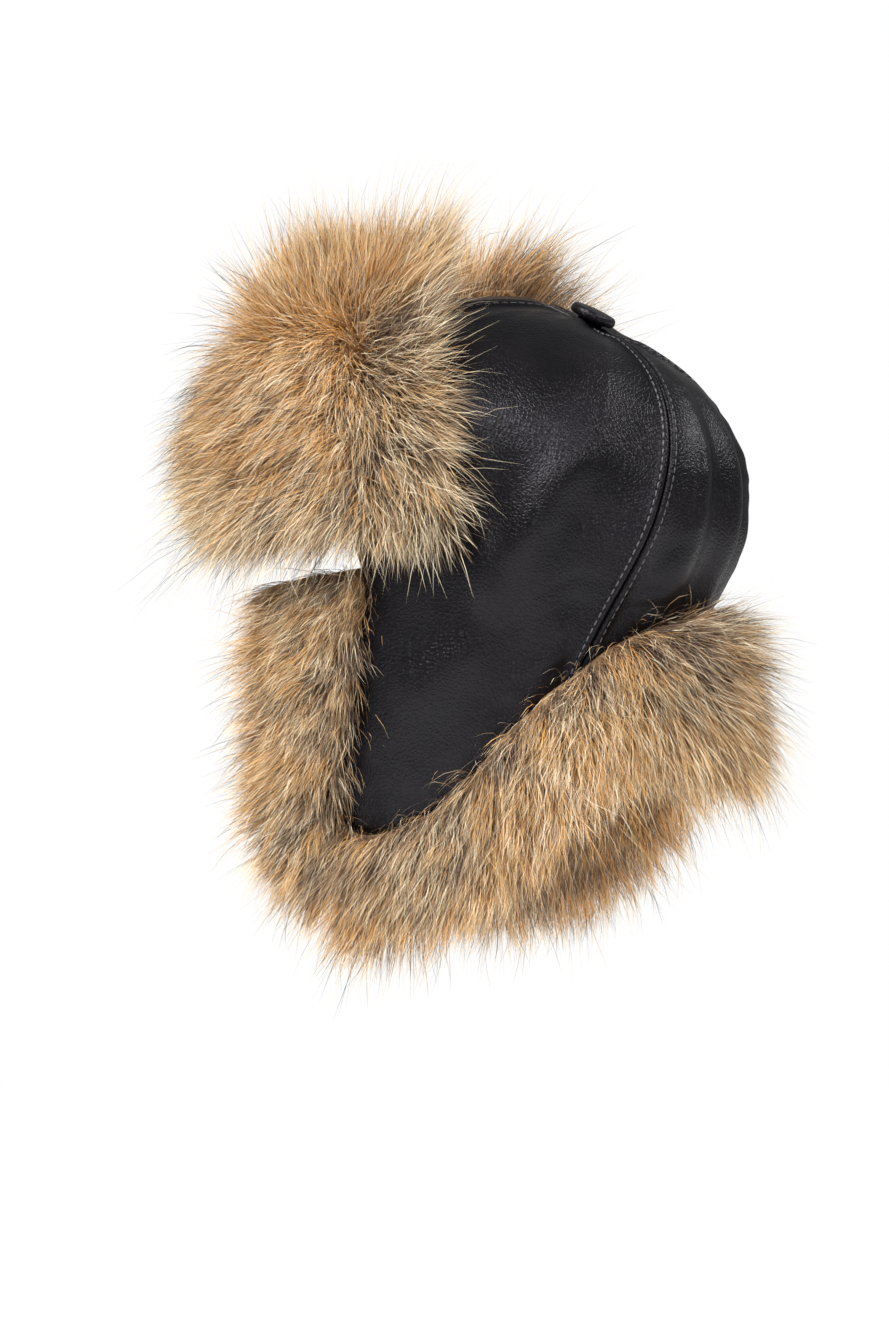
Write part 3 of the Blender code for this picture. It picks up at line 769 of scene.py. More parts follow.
def stitch_tree():
    """Threads a row of stitches along a line."""
    tree = bpy.data.node_groups.new("Topstitch", "GeometryNodeTree")
    face = tree.interface
    face.new_socket("Geometry", in_out="INPUT", socket_type="NodeSocketGeometry")
    for name in ("Pitch", "Length", "Thickness"):
        face.new_socket(name, in_out="INPUT", socket_type="NodeSocketFloat")
    face.new_socket("Thread", in_out="INPUT", socket_type="NodeSocketMaterial")
    face.new_socket("Geometry", in_out="OUTPUT", socket_type="NodeSocketGeometry")
    net = Net(tree)
    given = tree.nodes.new("NodeGroupInput")
    line = net.add("GeometryNodeMeshToCurve", None, {0: net.out(given, "Geometry")})
    pitch = net.out(given, "Pitch")
    spaced = net.add("GeometryNodeResampleCurve", {"mode": "LENGTH"}, {"Curve": line, "Length": pitch})
    tangent = net.add("GeometryNodeInputTangent")
    facing = net.add("FunctionNodeAlignRotationToVector", {"axis": "Z"}, {"Vector": tangent})
    bead = net.add("GeometryNodeMeshUVSphere", None, {"Segments": 8, "Rings": 7, "Radius": 1.0}, "Mesh")
    thickness = net.out(given, "Thickness")
    size = net.join(thickness, thickness, net.out(given, "Length") / 2)
    values = {"Points": spaced, "Instance": bead, "Rotation": facing, "Scale": size}
    placed_beads = net.add("GeometryNodeInstanceOnPoints", None, values)
    real = net.add("GeometryNodeRealizeInstances", None, {0: placed_beads})
    dressed = net.add("GeometryNodeSetMaterial", None, {"Geometry": real, "Material": net.out(given, "Thread")})
    net.feed(tree.nodes.new("NodeGroupOutput"), 0, dressed)
    return tree


def grown(thing, tree, inputs):
    """Runs a geometry tree on an object and returns the mesh that it makes."""
    modifier = thing.modifiers.new(tree.name, "NODES")
    modifier.node_group = tree
    for item in tree.interface.items_tree:
        if item.in_out == "INPUT" and item.name in inputs:
            modifier[item.identifier] = inputs[item.name]
    return settled(thing)


def sew(name, lines, tree):
    """Rows of stitches, one along each line of points."""
    corners, edges = [], []
    for line in lines:
        start = len(corners)
        shown = [point for point in line]
        corners += [tuple(point) for point in shown]
        edges += [(start + i, start + i + 1) for i in range(len(shown) - 1)]
    mesh = bpy.data.meshes.new(name)
    mesh.from_pydata(corners, edges, [])
    sizes = {"Pitch": STITCH_PITCH, "Length": STITCH_LENGTH, "Thickness": THREAD_RADIUS, "Thread": black_thread}
    made = grown(draft(name, mesh), tree, sizes)
    made.shade_smooth()
    return new_piece(name, made, black_thread, "black_leather")


def button_seat():
    """Middle and normal of the leather round the stem, about the part's origin."""
    azimuth = np.radians([0.0, 90.0, 180.0, 270.0])
    polar = np.full(4, POLE_HOLE)
    bare = form_point(azimuth, polar)
    drop = SEAM_PULL + slump(azimuth, polar)
    ring = bare - form_normal(bare) * drop[:, None]
    normal = unit(np.cross(ring[1] - ring[3], ring[0] - ring[2]))
    return Vector(placed(ring.mean(axis=0))), Vector(normal)


def leather_button():
    """The covered button: its cap with gathered leather at the rim, its stem and the washer inside."""
    cap_top = BUTTON_LIFT + BUTTON_THICKNESS
    round_edge = BUTTON_RADIUS - BUTTON_EDGE
    washer_top = -LEATHER - 3 * REST_GAP
    profile = [(round_edge * r, cap_top + BUTTON_CROWN * (1 - r * r)) for r in np.linspace(0.0, 1.0, 9)]
    for turn in np.radians(np.arange(15.0, 180.0, 15.0)):
        across = round_edge + BUTTON_EDGE * math.sin(turn)
        profile.append((across, BUTTON_LIFT + BUTTON_THICKNESS * (0.5 + 0.5 * math.cos(turn))))
    profile += [
        (round_edge, BUTTON_LIFT),
        (STEM_RADIUS, BUTTON_LIFT),
        (STEM_RADIUS, washer_top),
        (WASHER_RADIUS, washer_top),
        (WASHER_RADIUS, washer_top - WASHER_THICKNESS),
        (0.0, washer_top - WASHER_THICKNESS),
    ]
    shape = bmesh.new()
    loops = []
    turns = np.linspace(0.0, 2 * math.pi, BUTTON_SIDES, endpoint=False)
    for radius, height in profile:
        if radius == 0.0:
            loops.append([shape.verts.new((0.0, 0.0, height))] * BUTTON_SIDES)
            continue
        gather = 0.006 * radius * ease((radius - 0.6 * round_edge) / (0.4 * round_edge)) * (height > 0.0)
        loops.append(
            [
                shape.verts.new(
                    (
                        (radius + gather * math.sin(18 * turn)) * math.cos(turn),
                        (radius + gather * math.sin(18 * turn)) * math.sin(turn),
                        height,
                    )
                )
                for turn in turns
            ]
        )
    for upper, lower in zip(loops, loops[1:]):
        for i in range(BUTTON_SIDES):
            k = (i + 1) % BUTTON_SIDES
            corners = [upper[i], lower[i], lower[k], upper[k]]
            shape.faces.new(list(dict.fromkeys(corners)))
    bmesh.ops.recalc_face_normals(shape, faces=shape.faces)
    seat, normal = button_seat()
    turn = Vector((0.0, 0.0, 1.0)).rotation_difference(normal).to_matrix().to_4x4()
    shape.transform(Matrix.Translation(seat) @ turn)
    mesh = bpy.data.meshes.new("button_leather")
    shape.to_mesh(mesh)
    shape.free()
    mesh.shade_smooth()
    return new_piece("crown_button_leather", mesh, black_leather, "black_leather", "crown_button")


def round_section(rings, count):
    """Closed rings of points made smooth and finer, by a cubic through the points, with the place of each
    new point along the old ones."""
    old = rings.shape[1]
    place = np.arange(count) * old / count
    cell = place.astype(int)
    t = (place - cell)[None, :, None]
    before, start, end, after = (rings[:, (cell + k) % old] for k in (-1, 0, 1, 2))
    curve = start + 0.5 * t * (
        end - before + t * (2 * before - 5 * start + 4 * end - after + t * (3 * (start - end) + after - before))
    )
    return curve, place


def visor_rings(turns):
    """The visor pad's sections at angles round from the brow."""
    section = np.array(VISOR_SECTION)
    up, out = section[:, 0], section[:, 1]
    turn = turns[:, None]
    high = np.maximum(up, 0.0)
    foot = -VISOR_FOOT_BROW - (VISOR_FOOT_SIDE - VISOR_FOOT_BROW) * ease(np.abs(turn) / VISOR_END)
    depth = VISOR_SEAT - VISOR_LEAN * high**VISOR_LEAN_POWER + out * VISOR_PAD
    there = turn * (1.0 - VISOR_RAKE / VISOR_END * high**1.5)
    x = (HALF_WIDTH + depth) * np.sin(there)
    y = -(HALF_LENGTH + depth) * np.cos(there)
    return placed(np.stack([x, y, foot + up * (VISOR_TOP - foot)], -1)), there


def band_frames(runs, level):
    """Points of the leather's edge with the way out of the form and the way away from the leather."""
    azimuth, polar = edge_at(runs)
    points = form_point(azimuth, polar)
    along = np.gradient(points, runs, axis=0)
    along[:, 2] *= 1.0 - level
    along = unit(along)
    normal = form_normal(points)
    away = unit(np.cross(normal, along))
    return points, unit(np.cross(along, away)), away


def band_rings(runs, width, flare, level):
    """A band's sections along the leather's edge, and its ways out and away at each."""
    points, normals, aways = band_frames(runs, level)
    points = points + BAND_GAP * aways
    tilt = flare[:, None]
    normals, aways = normals * np.cos(tilt) - aways * np.sin(tilt), aways * np.cos(tilt) + normals * np.sin(tilt)
    section = np.array(TRIM_SECTION)
    share, rise = section[None, :, 0, None], section[None, :, 1, None]
    rings = points[:, None] + share * width[:, None, None] * aways[:, None] + rise * TRIM_PAD * normals[:, None]
    return placed(rings), normals, aways


def pad_mesh(name, rings, fields, side=1):
    """A closed pad through rings of points, with fields stored at them for the hairs."""
    count, around = rings.shape[0], rings.shape[1]
    points = rings.reshape(-1, 3) * np.array([side, 1.0, 1.0])
    index = np.arange(count * around).reshape(count, around)
    turned = np.roll(index, -1, axis=1)
    walls = np.stack([index[:-1], turned[:-1], turned[1:], index[1:]], -1).reshape(-1, 4)
    faces = walls.tolist() + [index[0][::-1].tolist(), index[-1].tolist()]
    mesh = bpy.data.meshes.new(name)
    mesh.from_pydata(points.tolist(), [], faces)
    shape = bmesh.new()
    shape.from_mesh(mesh)
    bmesh.ops.recalc_face_normals(shape, faces=shape.faces)
    shape.to_mesh(mesh)
    shape.free()
    mesh.shade_smooth()
    for key, values in fields.items():
        if values.ndim == 3:
            values = values.reshape(-1, 3) * np.array([side, 1.0, 1.0])
            mesh.attributes.new(key, "FLOAT_VECTOR", "POINT").data.foreach_set("vector", values.ravel())
        else:
            mesh.attributes.new(key, "FLOAT", "POINT").data.foreach_set("value", values.ravel())
    return mesh


def held_in(net, place):
    """Bends what nears the outside of the room round the solids softly back, so that it stays inside."""
    kept = []
    for part, low, high, start in zip(net.split(place), cad_box[0], cad_box[1], BEND_START):
        give = ROOM_SHARE * (high - low) + ROOM_EXTRA - ROOM_SPARE - start
        over = net.maths("MAXIMUM", part - (high + start), 0.0)
        under = net.maths("MAXIMUM", (low - start) - part, 0.0)
        back = over - give * net.number("TANH", over / give)
        kept.append(part - back + under - give * net.number("TANH", under / give))
    return net.join(*kept)


def hair_tree():
    """Grows hairs on a pad. Each hair is a tapered ribbon that leaves along its stand and ends along its
    lean, drawn to its tuft and waved a little. The pad's own fields say how long, how toned and how tipped
    it is."""
    tree = bpy.data.node_groups.new("Fur hairs", "GeometryNodeTree")
    face = tree.interface
    face.new_socket("Geometry", in_out="INPUT", socket_type="NodeSocketGeometry")
    numbers = ("Density", "Length", "Thickness", "Wander", "Tuft size", "Tuft pull", "Wave", "Tipped", "Tone shift")
    for name in numbers:
        face.new_socket(name, in_out="INPUT", socket_type="NodeSocketFloat")
    for name in ("Segments", "Seed"):
        face.new_socket(name, in_out="INPUT", socket_type="NodeSocketInt")
    face.new_socket("Hair", in_out="INPUT", socket_type="NodeSocketMaterial")
    face.new_socket("Geometry", in_out="OUTPUT", socket_type="NodeSocketGeometry")
    net = Net(tree)
    given = tree.nodes.new("NodeGroupInput")

    def wanted(name):
        return net.out(given, name)

    def field(name, kind="FLOAT"):
        return net.add("GeometryNodeInputNamedAttribute", {"data_type": kind}, {"Name": name}, "Attribute")

    def keep(geometry, name, value, kind="FLOAT", domain="POINT"):
        values = {"Geometry": geometry, "Name": name, "Value": value}
        return net.add("GeometryNodeStoreNamedAttribute", {"data_type": kind, "domain": domain}, values)

    def chance(low, high, salt):
        seed = wanted("Seed") + float(salt)
        values = {"Min": low, "Max": high, "Seed": seed}
        return net.add("FunctionNodeRandomValue", {"data_type": "FLOAT"}, values, "Value")

    def scatter(reach, salt):
        seed = wanted("Seed") + float(salt)
        values = {"Min": (-reach,) * 3, "Max": (reach,) * 3, "Seed": seed}
        return net.add("FunctionNodeRandomValue", {"data_type": "FLOAT_VECTOR"}, values, "Value")

    def cells(scale, output):
        values = {"Vector": position, "Scale": scale, "Randomness": 1.0}
        return net.add("ShaderNodeTexVoronoi", {"feature": "F1"}, values, output)

    position = net.add("GeometryNodeInputPosition")
    values = {"Mesh": wanted("Geometry"), "Density": wanted("Density") * field("grow"), "Seed": wanted("Seed")}
    roots = net.add("GeometryNodeDistributePointsOnFaces", {"distribute_method": "RANDOM"}, values, "Points")
    outward = Wire(net, next(s for s in roots.socket.node.outputs if s.name == "Normal"))
    tuft_scale = 1.0 / wanted("Tuft size")
    tuft_middle = cells(tuft_scale, "Position")
    tuft_chance = net.vector("SUBTRACT", cells(tuft_scale, "Color"), (0.5, 0.5, 0.5))
    small_middle = cells(tuft_scale * 3.1, "Position")
    drift = noise(net, position, 38.0, 2.0)
    drift_way = Wire(net, next(s for s in drift.socket.node.outputs if s.name == "Color"))
    drift_way = net.vector("SUBTRACT", drift_way, (0.5, 0.5, 0.5))
    drift_tone, _, _ = net.split(drift_way)
    wander = wanted("Wander")
    stand = field("stand", "FLOAT_VECTOR") + wander * (scatter(0.55, 1) + tuft_chance * 0.5)
    lean = field("lean", "FLOAT_VECTOR") + wander * (scatter(0.50, 2) + tuft_chance * 1.1 + drift_way * 1.6)
    long = field("hair") * wanted("Length") * chance(0.62, 1.08, 3) * (0.80 + 0.40 * drift)
    pull = (tuft_middle - position) * 0.7 + (small_middle - position) * 0.5
    facing = net.vector("NORMALIZE", outward + scatter(0.85, 4))
    points = keep(roots, "root", position, "FLOAT_VECTOR")
    points = keep(points, "first", net.vector("NORMALIZE", stand) * long, "FLOAT_VECTOR")
    points = keep(points, "last", net.vector("NORMALIZE", lean) * long, "FLOAT_VECTOR")
    points = keep(points, "pull", pull * wanted("Tuft pull"), "FLOAT_VECTOR")
    middle_way = net.vector("NORMALIZE", stand) + net.vector("NORMALIZE", lean)
    flat = net.vector("NORMALIZE", net.vector("CROSS_PRODUCT", middle_way, facing))
    points = keep(points, "flat", flat * wanted("Thickness") * chance(0.7, 1.3, 5), "FLOAT_VECTOR")
    points = keep(points, "wave", scatter(1.0, 6) * wanted("Wave") * long, "FLOAT_VECTOR")
    tuft_tone, _, tuft_draw = net.split(tuft_chance)
    tone = field("tone") + wanted("Tone shift") + chance(-0.20, 0.20, 7) + tuft_tone * 0.45 + drift_tone * 0.5
    tone = net.add("ShaderNodeClamp", None, {"Value": tone, "Min": 0.0, "Max": 1.0})
    draw = chance(0.0, 1.0, 8) + tuft_draw * 0.5
    black = (draw < field("black") * wanted("Tipped")) * 1.0
    # Hairs with a cream tip, whose cream is partly real and partly a painted highlight
    cream_and_highlight_tips = (1.0 - black) * (draw > 1.0 - field("cream_and_highlight_tips") * wanted("Tipped"))
    palette = (black + cream_and_highlight_tips * 2.0 + 0.1 + 0.8 * tone) / KINDS
    points = keep(points, "palette", palette)

    strip_size = {"Size X": 1.0, "Size Y": 1.0, "Vertices X": 2, "Vertices Y": wanted("Segments")}
    strip = net.add("GeometryNodeMeshGrid", None, strip_size, "Mesh")
    side_place, up_place, _ = net.split(position)
    strip = keep(strip, "up", up_place + 0.5)
    strip = keep(strip, "side", side_place * 2.0)
    tip_in = net.join(side_place * (0.5 - up_place), up_place, 0.0)
    strip = net.add("GeometryNodeSetPosition", None, {"Geometry": strip, "Position": tip_in})
    strip = net.add("GeometryNodeMergeByDistance", None, {"Geometry": strip, "Distance": 1e-5})

    hairs = net.add("GeometryNodeInstanceOnPoints", None, {"Points": points, "Instance": strip})
    hairs = net.add("GeometryNodeRealizeInstances", None, {0: hairs})
    up = field("up")
    bend = up * up * 0.5
    taper = 1.0 - up**2.2 * 0.9
    arc = field("first", "FLOAT_VECTOR") * (up - bend) + field("last", "FLOAT_VECTOR") * bend
    sway = field("wave", "FLOAT_VECTOR") * net.number("SINE", up * 5.2) * up
    spine = field("root", "FLOAT_VECTOR") + arc + field("pull", "FLOAT_VECTOR") * up**1.3 + sway
    place = held_in(net, spine) + field("flat", "FLOAT_VECTOR") * field("side") * taper * 0.5
    hairs = net.add("GeometryNodeSetPosition", None, {"Geometry": hairs, "Position": place})
    spot = net.join(field("palette") + field("side") * 0.004, 0.02 + up * 0.96, 0.0)
    hairs = keep(hairs, HAIR_MAP, spot, "FLOAT2", "CORNER")
    hairs = keep(hairs, "OFBake", spot, "FLOAT2", "CORNER")
    hairs = net.add("GeometryNodeSetMaterial", None, {"Geometry": hairs, "Material": wanted("Hair")})
    net.feed(tree.nodes.new("NodeGroupOutput"), 0, hairs)
    return tree


HAIR_FIELDS = ("root", "first", "last", "pull", "flat", "wave", "palette", "up", "side", "grow", "hair", "stand")
HAIR_FIELDS += ("lean", "tone", "black", "cream_and_highlight_tips")

# What the two coats share and where they differ
UNDERCOAT = {
    "Length": 0.78,
    "Thickness": 0.00034,
    "Wander": 0.55,
    "Tuft size": 0.0085,
    "Tuft pull": 0.55,
    "Wave": 0.030,
    "Tipped": 0.25,
    "Tone shift": 0.02,
    "Segments": 4,
}
GUARD_HAIR = {
    "Length": 1.12,
    "Thickness": 0.00025,
    "Wander": 0.75,
    "Tuft size": 0.0060,
    "Tuft pull": 0.75,
    "Wave": 0.045,
    "Tipped": 1.0,
    "Tone shift": 0.0,
    "Segments": 5,
}


def field_area(mesh):
    """The area that hairs grow on, weighed by how thickly they grow."""
    grow = np.empty(len(mesh.vertices))
    mesh.attributes["grow"].data.foreach_get("value", grow)
    return sum(face.area * grow[list(face.vertices)].mean() for face in mesh.polygons)


def half_of(mesh, side):
    """A copy of a pad that grows hairs only on one side of the hat."""
    copy = mesh.copy()
    for vertex, spot in zip(copy.vertices, copy.attributes["grow"].data):
        if vertex.co.x * side < 0.0:
            spot.value = 0.0
    return copy


def fur(name, mesh, slot, coat, count, seed):
    """Hairs of one coat on a pad, as one piece."""
    inputs = {**coat, "Density": count / field_area(mesh), "Seed": seed, "Hair": fur_hair}
    made = grown(draft(name, mesh.copy()), fur_tree, inputs)
    for key in HAIR_FIELDS:
        if key in made.attributes:
            made.attributes.remove(made.attributes[key])
    made.shade_smooth()
    return new_piece(name, made, fur_hair, slot)


def pad_piece(name, mesh, slot, node):
    """The pad under the hairs, which stands for the solid."""
    plain = mesh.copy()
    for key in HAIR_FIELDS:
        if key in plain.attributes:
            plain.attributes.remove(plain.attributes[key])
    thing = new_piece(name, plain, matted_underfur, slot, node)
    return thing


def visor_fields(turns, there, place):
    """How the visor's hairs grow: down over the face, up over the top, out from a whorl high on each wing and
    back over the leather behind it."""
    old = len(VISOR_SECTION)
    ups = np.array([row[0] for row in VISOR_SECTION])
    loop = np.arange(old + 1)
    up = np.interp(place, loop, np.append(ups, ups[0]))[None, :]
    outside = np.interp(place, (0.0, 0.6, 8.2, 9.4, 10.6, 11.6, 12.0), (0.6, 1.0, 1.0, 0.7, 0.3, 0.1, 0.6))[None, :]
    within = np.interp(place, (8.3, 9.0, 11.4, 11.9), (0.0, 1.0, 1.0, 0.0))[None, :]
    turn = np.broadcast_to(turns[:, None], (len(turns), len(place)))
    round_to = np.abs(turn) / VISOR_END
    side = np.sign(turn)
    zero = np.zeros_like(turn)
    out = np.stack([np.sin(turn), -np.cos(turn), zero], -1)
    rear = np.stack([side * np.cos(turn), side * np.sin(turn), zero], -1)
    over = np.array([0.0, 0.0, 1.0])
    top = ease((up - 0.62) / 0.26) + zero
    end = ease((round_to - 0.76) / 0.18)
    wing = ease((round_to - 0.45) / 0.25) * (1.0 - end)
    front = 1.0 - ease((round_to - 0.20) / 0.30)
    swing = np.radians(np.interp(up, (0.0, 0.30, 0.62, 1.0), (14.0, 42.0, 92.0, 140.0))) + zero
    rise = (1.0 - end) * (-0.95 + 1.95 * top) - end * np.cos(swing)
    lower = 1.0 - ease((up - 0.02) / 0.30) + zero
    hang = lower * (1.0 - within) * np.exp(-(((round_to - 0.62) / 0.16) ** 2))
    push = 0.80 - 0.45 * wing - 0.50 * end - (0.35 + 0.45 * front) * top
    back = -0.30 * wing * (1.0 - top) + end * np.sin(swing) + 0.25 * top * wing
    lean = push[..., None] * out + back[..., None] * rear + rise[..., None] * over
    stand = (1.00 - 0.3 * top)[..., None] * out + 0.35 * back[..., None] * rear
    stand = stand + (0.15 + 1.1 * top)[..., None] * over
    hair = 0.035 + 0.009 * top + 0.014 * end + 0.014 * wing * lower - 0.012 * lower * front + 0.026 * hang
    hair = hair * (1.0 - 0.35 * within)
    stand = stand * (1.0 - 2.0 * within)[..., None] + 0.5 * within[..., None] * over
    mid = np.exp(-(((up - 0.55) / 0.24) ** 2)) * (1.0 - end)
    tone = 0.50 + 0.26 * mid - 0.23 * end * (1.0 - 0.6 * top) + 0.02 * front - 0.10 * lower * (1.0 - front)
    black = 0.30 + 0.38 * mid + 0.20 * front - 0.25 * end - 0.14 * top
    # Share of cream-tipped hairs, whose cream is partly a painted highlight
    cream_and_highlight_tips = 0.20 + 0.30 * lower + 0.34 * end - 0.10 * top - 0.10 * front
    return {
        "grow": (outside + zero) * (1.0 + 1.5 * hang),
        "hair": hair,
        "stand": stand,
        "lean": lean,
        "tone": tone,
        "black": black,
        "cream_and_highlight_tips": cream_and_highlight_tips,
    }


def visor_pad():
    count = round(2 * VISOR_END * HALF_LENGTH / PAD_CELL)
    turns = np.linspace(-VISOR_END, VISOR_END, count + 1)
    rings, there = visor_rings(turns)
    rings, place = round_section(rings, PAD_AROUND)
    return pad_mesh("visor_pad", rings, visor_fields(turns, there, place))


def band_place(place):
    """Share of the band's width and whether the place is on the outside, along a band's section."""
    shares = np.array([row[0] for row in TRIM_SECTION])
    loop = np.arange(len(TRIM_SECTION) + 1)
    share = np.interp(place, loop, np.append(shares, shares[0]))[None, :]
    outside = np.interp(place, (0.0, 4.2, 5.4, 6.6, 7.4, 8.0), (1.0, 1.0, 0.30, 0.15, 0.3, 1.0))[None, :]
    return share, outside


def ear_pad(side):
    """The pad down the front edge of a flap. Its hairs hang, and those at its outer rim fan to the face."""
    meet, top = run_at(TRIM_MEET) + TRIM_GAP / 2, run_at(EAR_TRIM_TOP)
    runs = np.linspace(meet, top, round((top - meet) / PAD_CELL) + 1)
    share_up = (runs - meet) / (top - meet)
    width = EAR_TRIM_TIP_WIDTH + (EAR_TRIM_WIDTH - EAR_TRIM_TIP_WIDTH) * ease(share_up * 1.5)
    rings, normals, aways = band_rings(runs, width, np.zeros_like(runs), np.zeros_like(runs))
    rings, place = round_section(rings, PAD_AROUND)
    share, outside = band_place(place)
    zero = np.zeros((len(runs), len(place)))
    up, away = normals[:, None, :], aways[:, None, :]
    down = np.array([0.0, 0.0, -1.0])
    inner = (1.0 - outside) + zero
    lean = (0.30 - 0.5 * inner)[..., None] * up + (0.05 + 0.62 * share + zero)[..., None] * away + 0.85 * down
    stand = (1.0 - 1.6 * inner)[..., None] * up + (-0.25 + 1.1 * share + zero)[..., None] * away + 0.1 * down
    tip = 1.0 - ease(share_up * 3.0)[:, None]
    fields = {
        "grow": outside + zero,
        "hair": (0.027 + 0.006 * share + zero) * (1.0 - 0.35 * inner),
        "stand": stand,
        "lean": lean,
        "tone": 0.33 + 0.22 * share - 0.06 * tip + zero,
        "black": 0.16 + 0.16 * share + zero,
        # Share of cream-tipped hairs, whose cream is partly a painted highlight
        "cream_and_highlight_tips": 0.34 - 0.06 * share + zero,
    }
    return pad_mesh("ear_pad", rings, fields, side)


def neck_pad():
    """The pad round the neck. Its hairs hang down at the flaps and stand out at the back."""
    meet = run_at(TRIM_MEET) - TRIM_GAP / 2
    runs = np.linspace(-meet, meet, round(2 * meet / PAD_CELL) + 1)
    backness = 1.0 - ease(np.abs(runs) / (1.25 * BACK_RUN))
    width = NECK_TRIM_WIDTH + (NECK_TRIM_BACK_WIDTH - NECK_TRIM_WIDTH) * backness
    rings, normals, aways = band_rings(runs, width, NECK_FLARE * (0.12 + 0.88 * backness), backness)
    rings, place = round_section(rings, PAD_AROUND)
    share, outside = band_place(place)
    zero = np.zeros((len(runs), len(place)))
    behind = backness[:, None] + zero
    up, away = normals[:, None, :], aways[:, None, :]
    inner = (1.0 - outside) + zero
    down = np.array([0.0, -0.30, -1.0])
    at_back = (0.85 - 0.3 * share + zero)[..., None] * up + (0.10 + 0.75 * share + zero)[..., None] * away
    at_side = (0.40 - 0.5 * inner)[..., None] * up + (0.05 + 0.25 * share + zero)[..., None] * away + 0.9 * down
    sag = (0.15 + 0.75 * share + zero)[..., None]
    lean = behind[..., None] * (at_back + sag * down) + (1.0 - behind)[..., None] * at_side
    stand = (1.0 - 1.5 * inner)[..., None] * up + (0.05 + 0.9 * share + zero)[..., None] * away
    along = np.abs(runs)[:, None] / meet + zero
    golden = np.exp(-(((along - 0.50) / 0.20) ** 2))
    fields = {
        "grow": outside + zero,
        "hair": (0.034 + 0.004 * behind + 0.004 * share) * (1.0 - 0.35 * inner),
        "stand": stand,
        "lean": lean,
        "tone": 0.29 + 0.19 * share + 0.32 * golden * ease(share * 2.5) + zero,
        "black": 0.20 + 0.10 * share + zero,
        # Share of cream-tipped hairs, whose cream is partly a painted highlight
        "cream_and_highlight_tips": 0.30 + 0.05 * behind,
    }
    return pad_mesh("neck_pad", rings, fields)


black_leather = new_material("Black nappa", leather_paint)
black_thread = new_material("Black thread", thread_paint)
fur_hair = new_material("Fur hair", hair_paint)
matted_underfur = new_material("Matted underfur", underfur_paint)
pale_floor = new_material("Pale floor", floor_paint)

SIDE_TOPS = (BACK_SEAM_TOP, FRONT_SEAM_TOP)
BACK_TOPS = (-BACK_SEAM_TOP, BACK_SEAM_TOP)
FRONT_TOPS = (FRONT_SEAM_TOP, 2 * math.pi - FRONT_SEAM_TOP)
SIDE_SPAN = (BACK_RUN, FRONT_RUN)
stitched = []
stitched += leather_gore("crown_back_leather", BACK_TOPS, (-BACK_RUN, BACK_RUN), BACK_FOLDS, 1)
stitched += leather_gore("crown_side_left_leather", SIDE_TOPS, SIDE_SPAN, SIDE_FOLDS, 1)
stitched += leather_gore("crown_side_right_leather", SIDE_TOPS, SIDE_SPAN, SIDE_FOLDS, -1)
stitched += leather_gore("crown_front_leather", FRONT_TOPS, (FRONT_RUN, 2 * BROW_RUN - FRONT_RUN), (), 1)
sew("seam_stitches", stitched, stitch_tree())
leather_button()

fur_tree = hair_tree()
visor = visor_pad()
pad_piece("visor_underfur", visor, "visor_fur", "visor_fur")
fur("visor_guard_hair", visor, "visor_fur", GUARD_HAIR, 16000, 12)
for word, side, seed in (("left", 1, 20), ("right", -1, 30)):
    fur(f"visor_undercoat_{word}", half_of(visor, side), "visor_fur", UNDERCOAT, 31000, seed + 5)
    ear = ear_pad(side)
    pad_piece(f"ear_trim_{word}_underfur", ear, "trim_fur", f"ear_trim_{word}")
    fur(f"ear_trim_{word}_undercoat", ear, "trim_fur", UNDERCOAT, 12000, seed)
    fur(f"ear_trim_{word}_guard_hair", ear, "trim_fur", GUARD_HAIR, 3500, seed + 1)
neck = neck_pad()
pad_piece("neck_trim_underfur", neck, "trim_fur", "neck_trim")
fur("neck_trim_undercoat", neck, "trim_fur", UNDERCOAT, 26000, 41)
fur("neck_trim_guard_hair", neck, "trim_fur", GUARD_HAIR, 8000, 42)

# Studio: a pale floor under a white surround, a broad light from the front and above, a fill and a rim light
FLOOR_HEIGHT = -0.46
FLOOR_RADIUS = 1.5
LOOK_AT = Vector((0.0076, -0.0189, -0.153))
CAMERA_AZIMUTH = math.radians(112.0)
CAMERA_DISTANCE = 2.0
CAMERA_LENS = 128.6

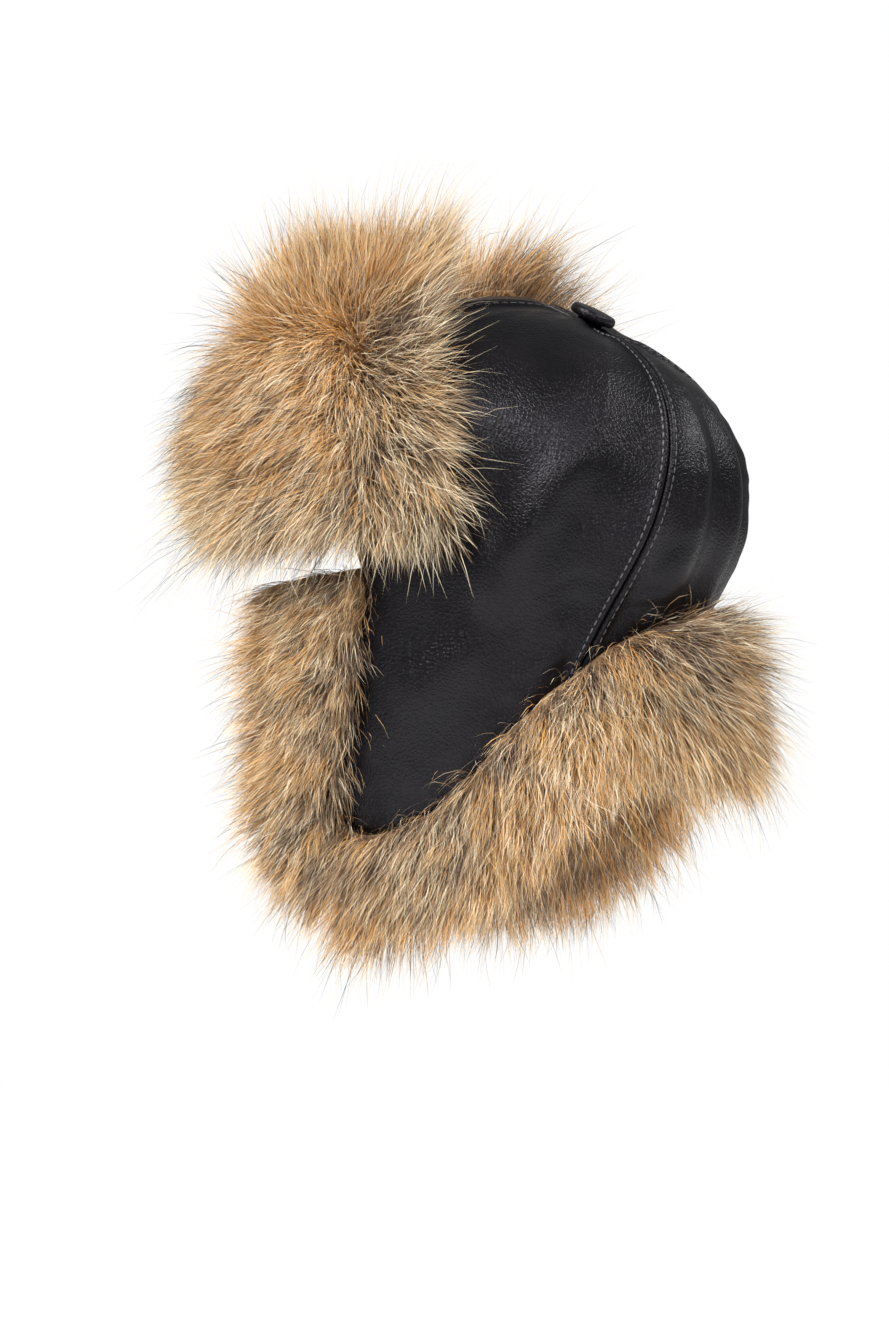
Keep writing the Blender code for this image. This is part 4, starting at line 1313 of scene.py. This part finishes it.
floor_mesh = bpy.data.meshes.new("floor")
rim = np.linspace(0.0, 2 * math.pi, 96, endpoint=False)
floor_mesh.from_pydata(
    [(FLOOR_RADIUS * math.cos(turn), FLOOR_RADIUS * math.sin(turn), FLOOR_HEIGHT) for turn in rim],
    [],
    [tuple(range(len(rim)))],
)
floor_mesh.materials.append(pale_floor)
floor = bpy.data.objects.new("floor", floor_mesh)
bpy.context.scene.collection.objects.link(floor)

SURROUND_LIGHT = 0.26
SURROUND_SHOWN = 1.0
world = bpy.data.worlds.new("Surround")
world.use_nodes = True
air = Net(world.node_tree)
seen = air.add("ShaderNodeLightPath", None, None, "Is Camera Ray")
background = world.node_tree.nodes["Background"]
air.feed(background, "Color", (1.0, 1.0, 1.0, 1.0))
air.feed(background, "Strength", SURROUND_LIGHT + seen * (SURROUND_SHOWN - SURROUND_LIGHT))
bpy.context.scene.world = world
bpy.context.scene.view_settings.view_transform = "Standard"


def lamp(name, azimuth, elevation, distance, size, power):
    """An area light that looks at the hat."""
    light = bpy.data.lights.new(name, "AREA")
    light.shape = "RECTANGLE"
    light.size, light.size_y = size
    light.energy = power
    thing = bpy.data.objects.new(name, light)
    turn, lift = math.radians(azimuth), math.radians(elevation)
    way = Vector((math.sin(turn) * math.cos(lift), -math.cos(turn) * math.cos(lift), math.sin(lift)))
    thing.location = LOOK_AT + distance * way
    thing.rotation_euler = (-way).to_track_quat("-Z", "Y").to_euler()
    bpy.context.scene.collection.objects.link(thing)


lamp("front box", 70.0, 42.0, 2.2, (1.1, 1.1), 66.0)
lamp("side fill", 128.0, 30.0, 2.4, (0.7, 0.7), 22.0)
lamp("back rim", 200.0, 40.0, 2.2, (0.9, 0.9), 26.0)

camera_data = bpy.data.cameras.new("camera")
camera_data.lens = CAMERA_LENS
camera = bpy.data.objects.new("camera", camera_data)
away = Vector((math.sin(CAMERA_AZIMUTH), -math.cos(CAMERA_AZIMUTH), 0.0))
camera.location = LOOK_AT + CAMERA_DISTANCE * away
camera.rotation_euler = (-away).to_track_quat("-Z", "Y").to_euler()
bpy.context.scene.collection.objects.link(camera)
bpy.context.scene.camera = camera
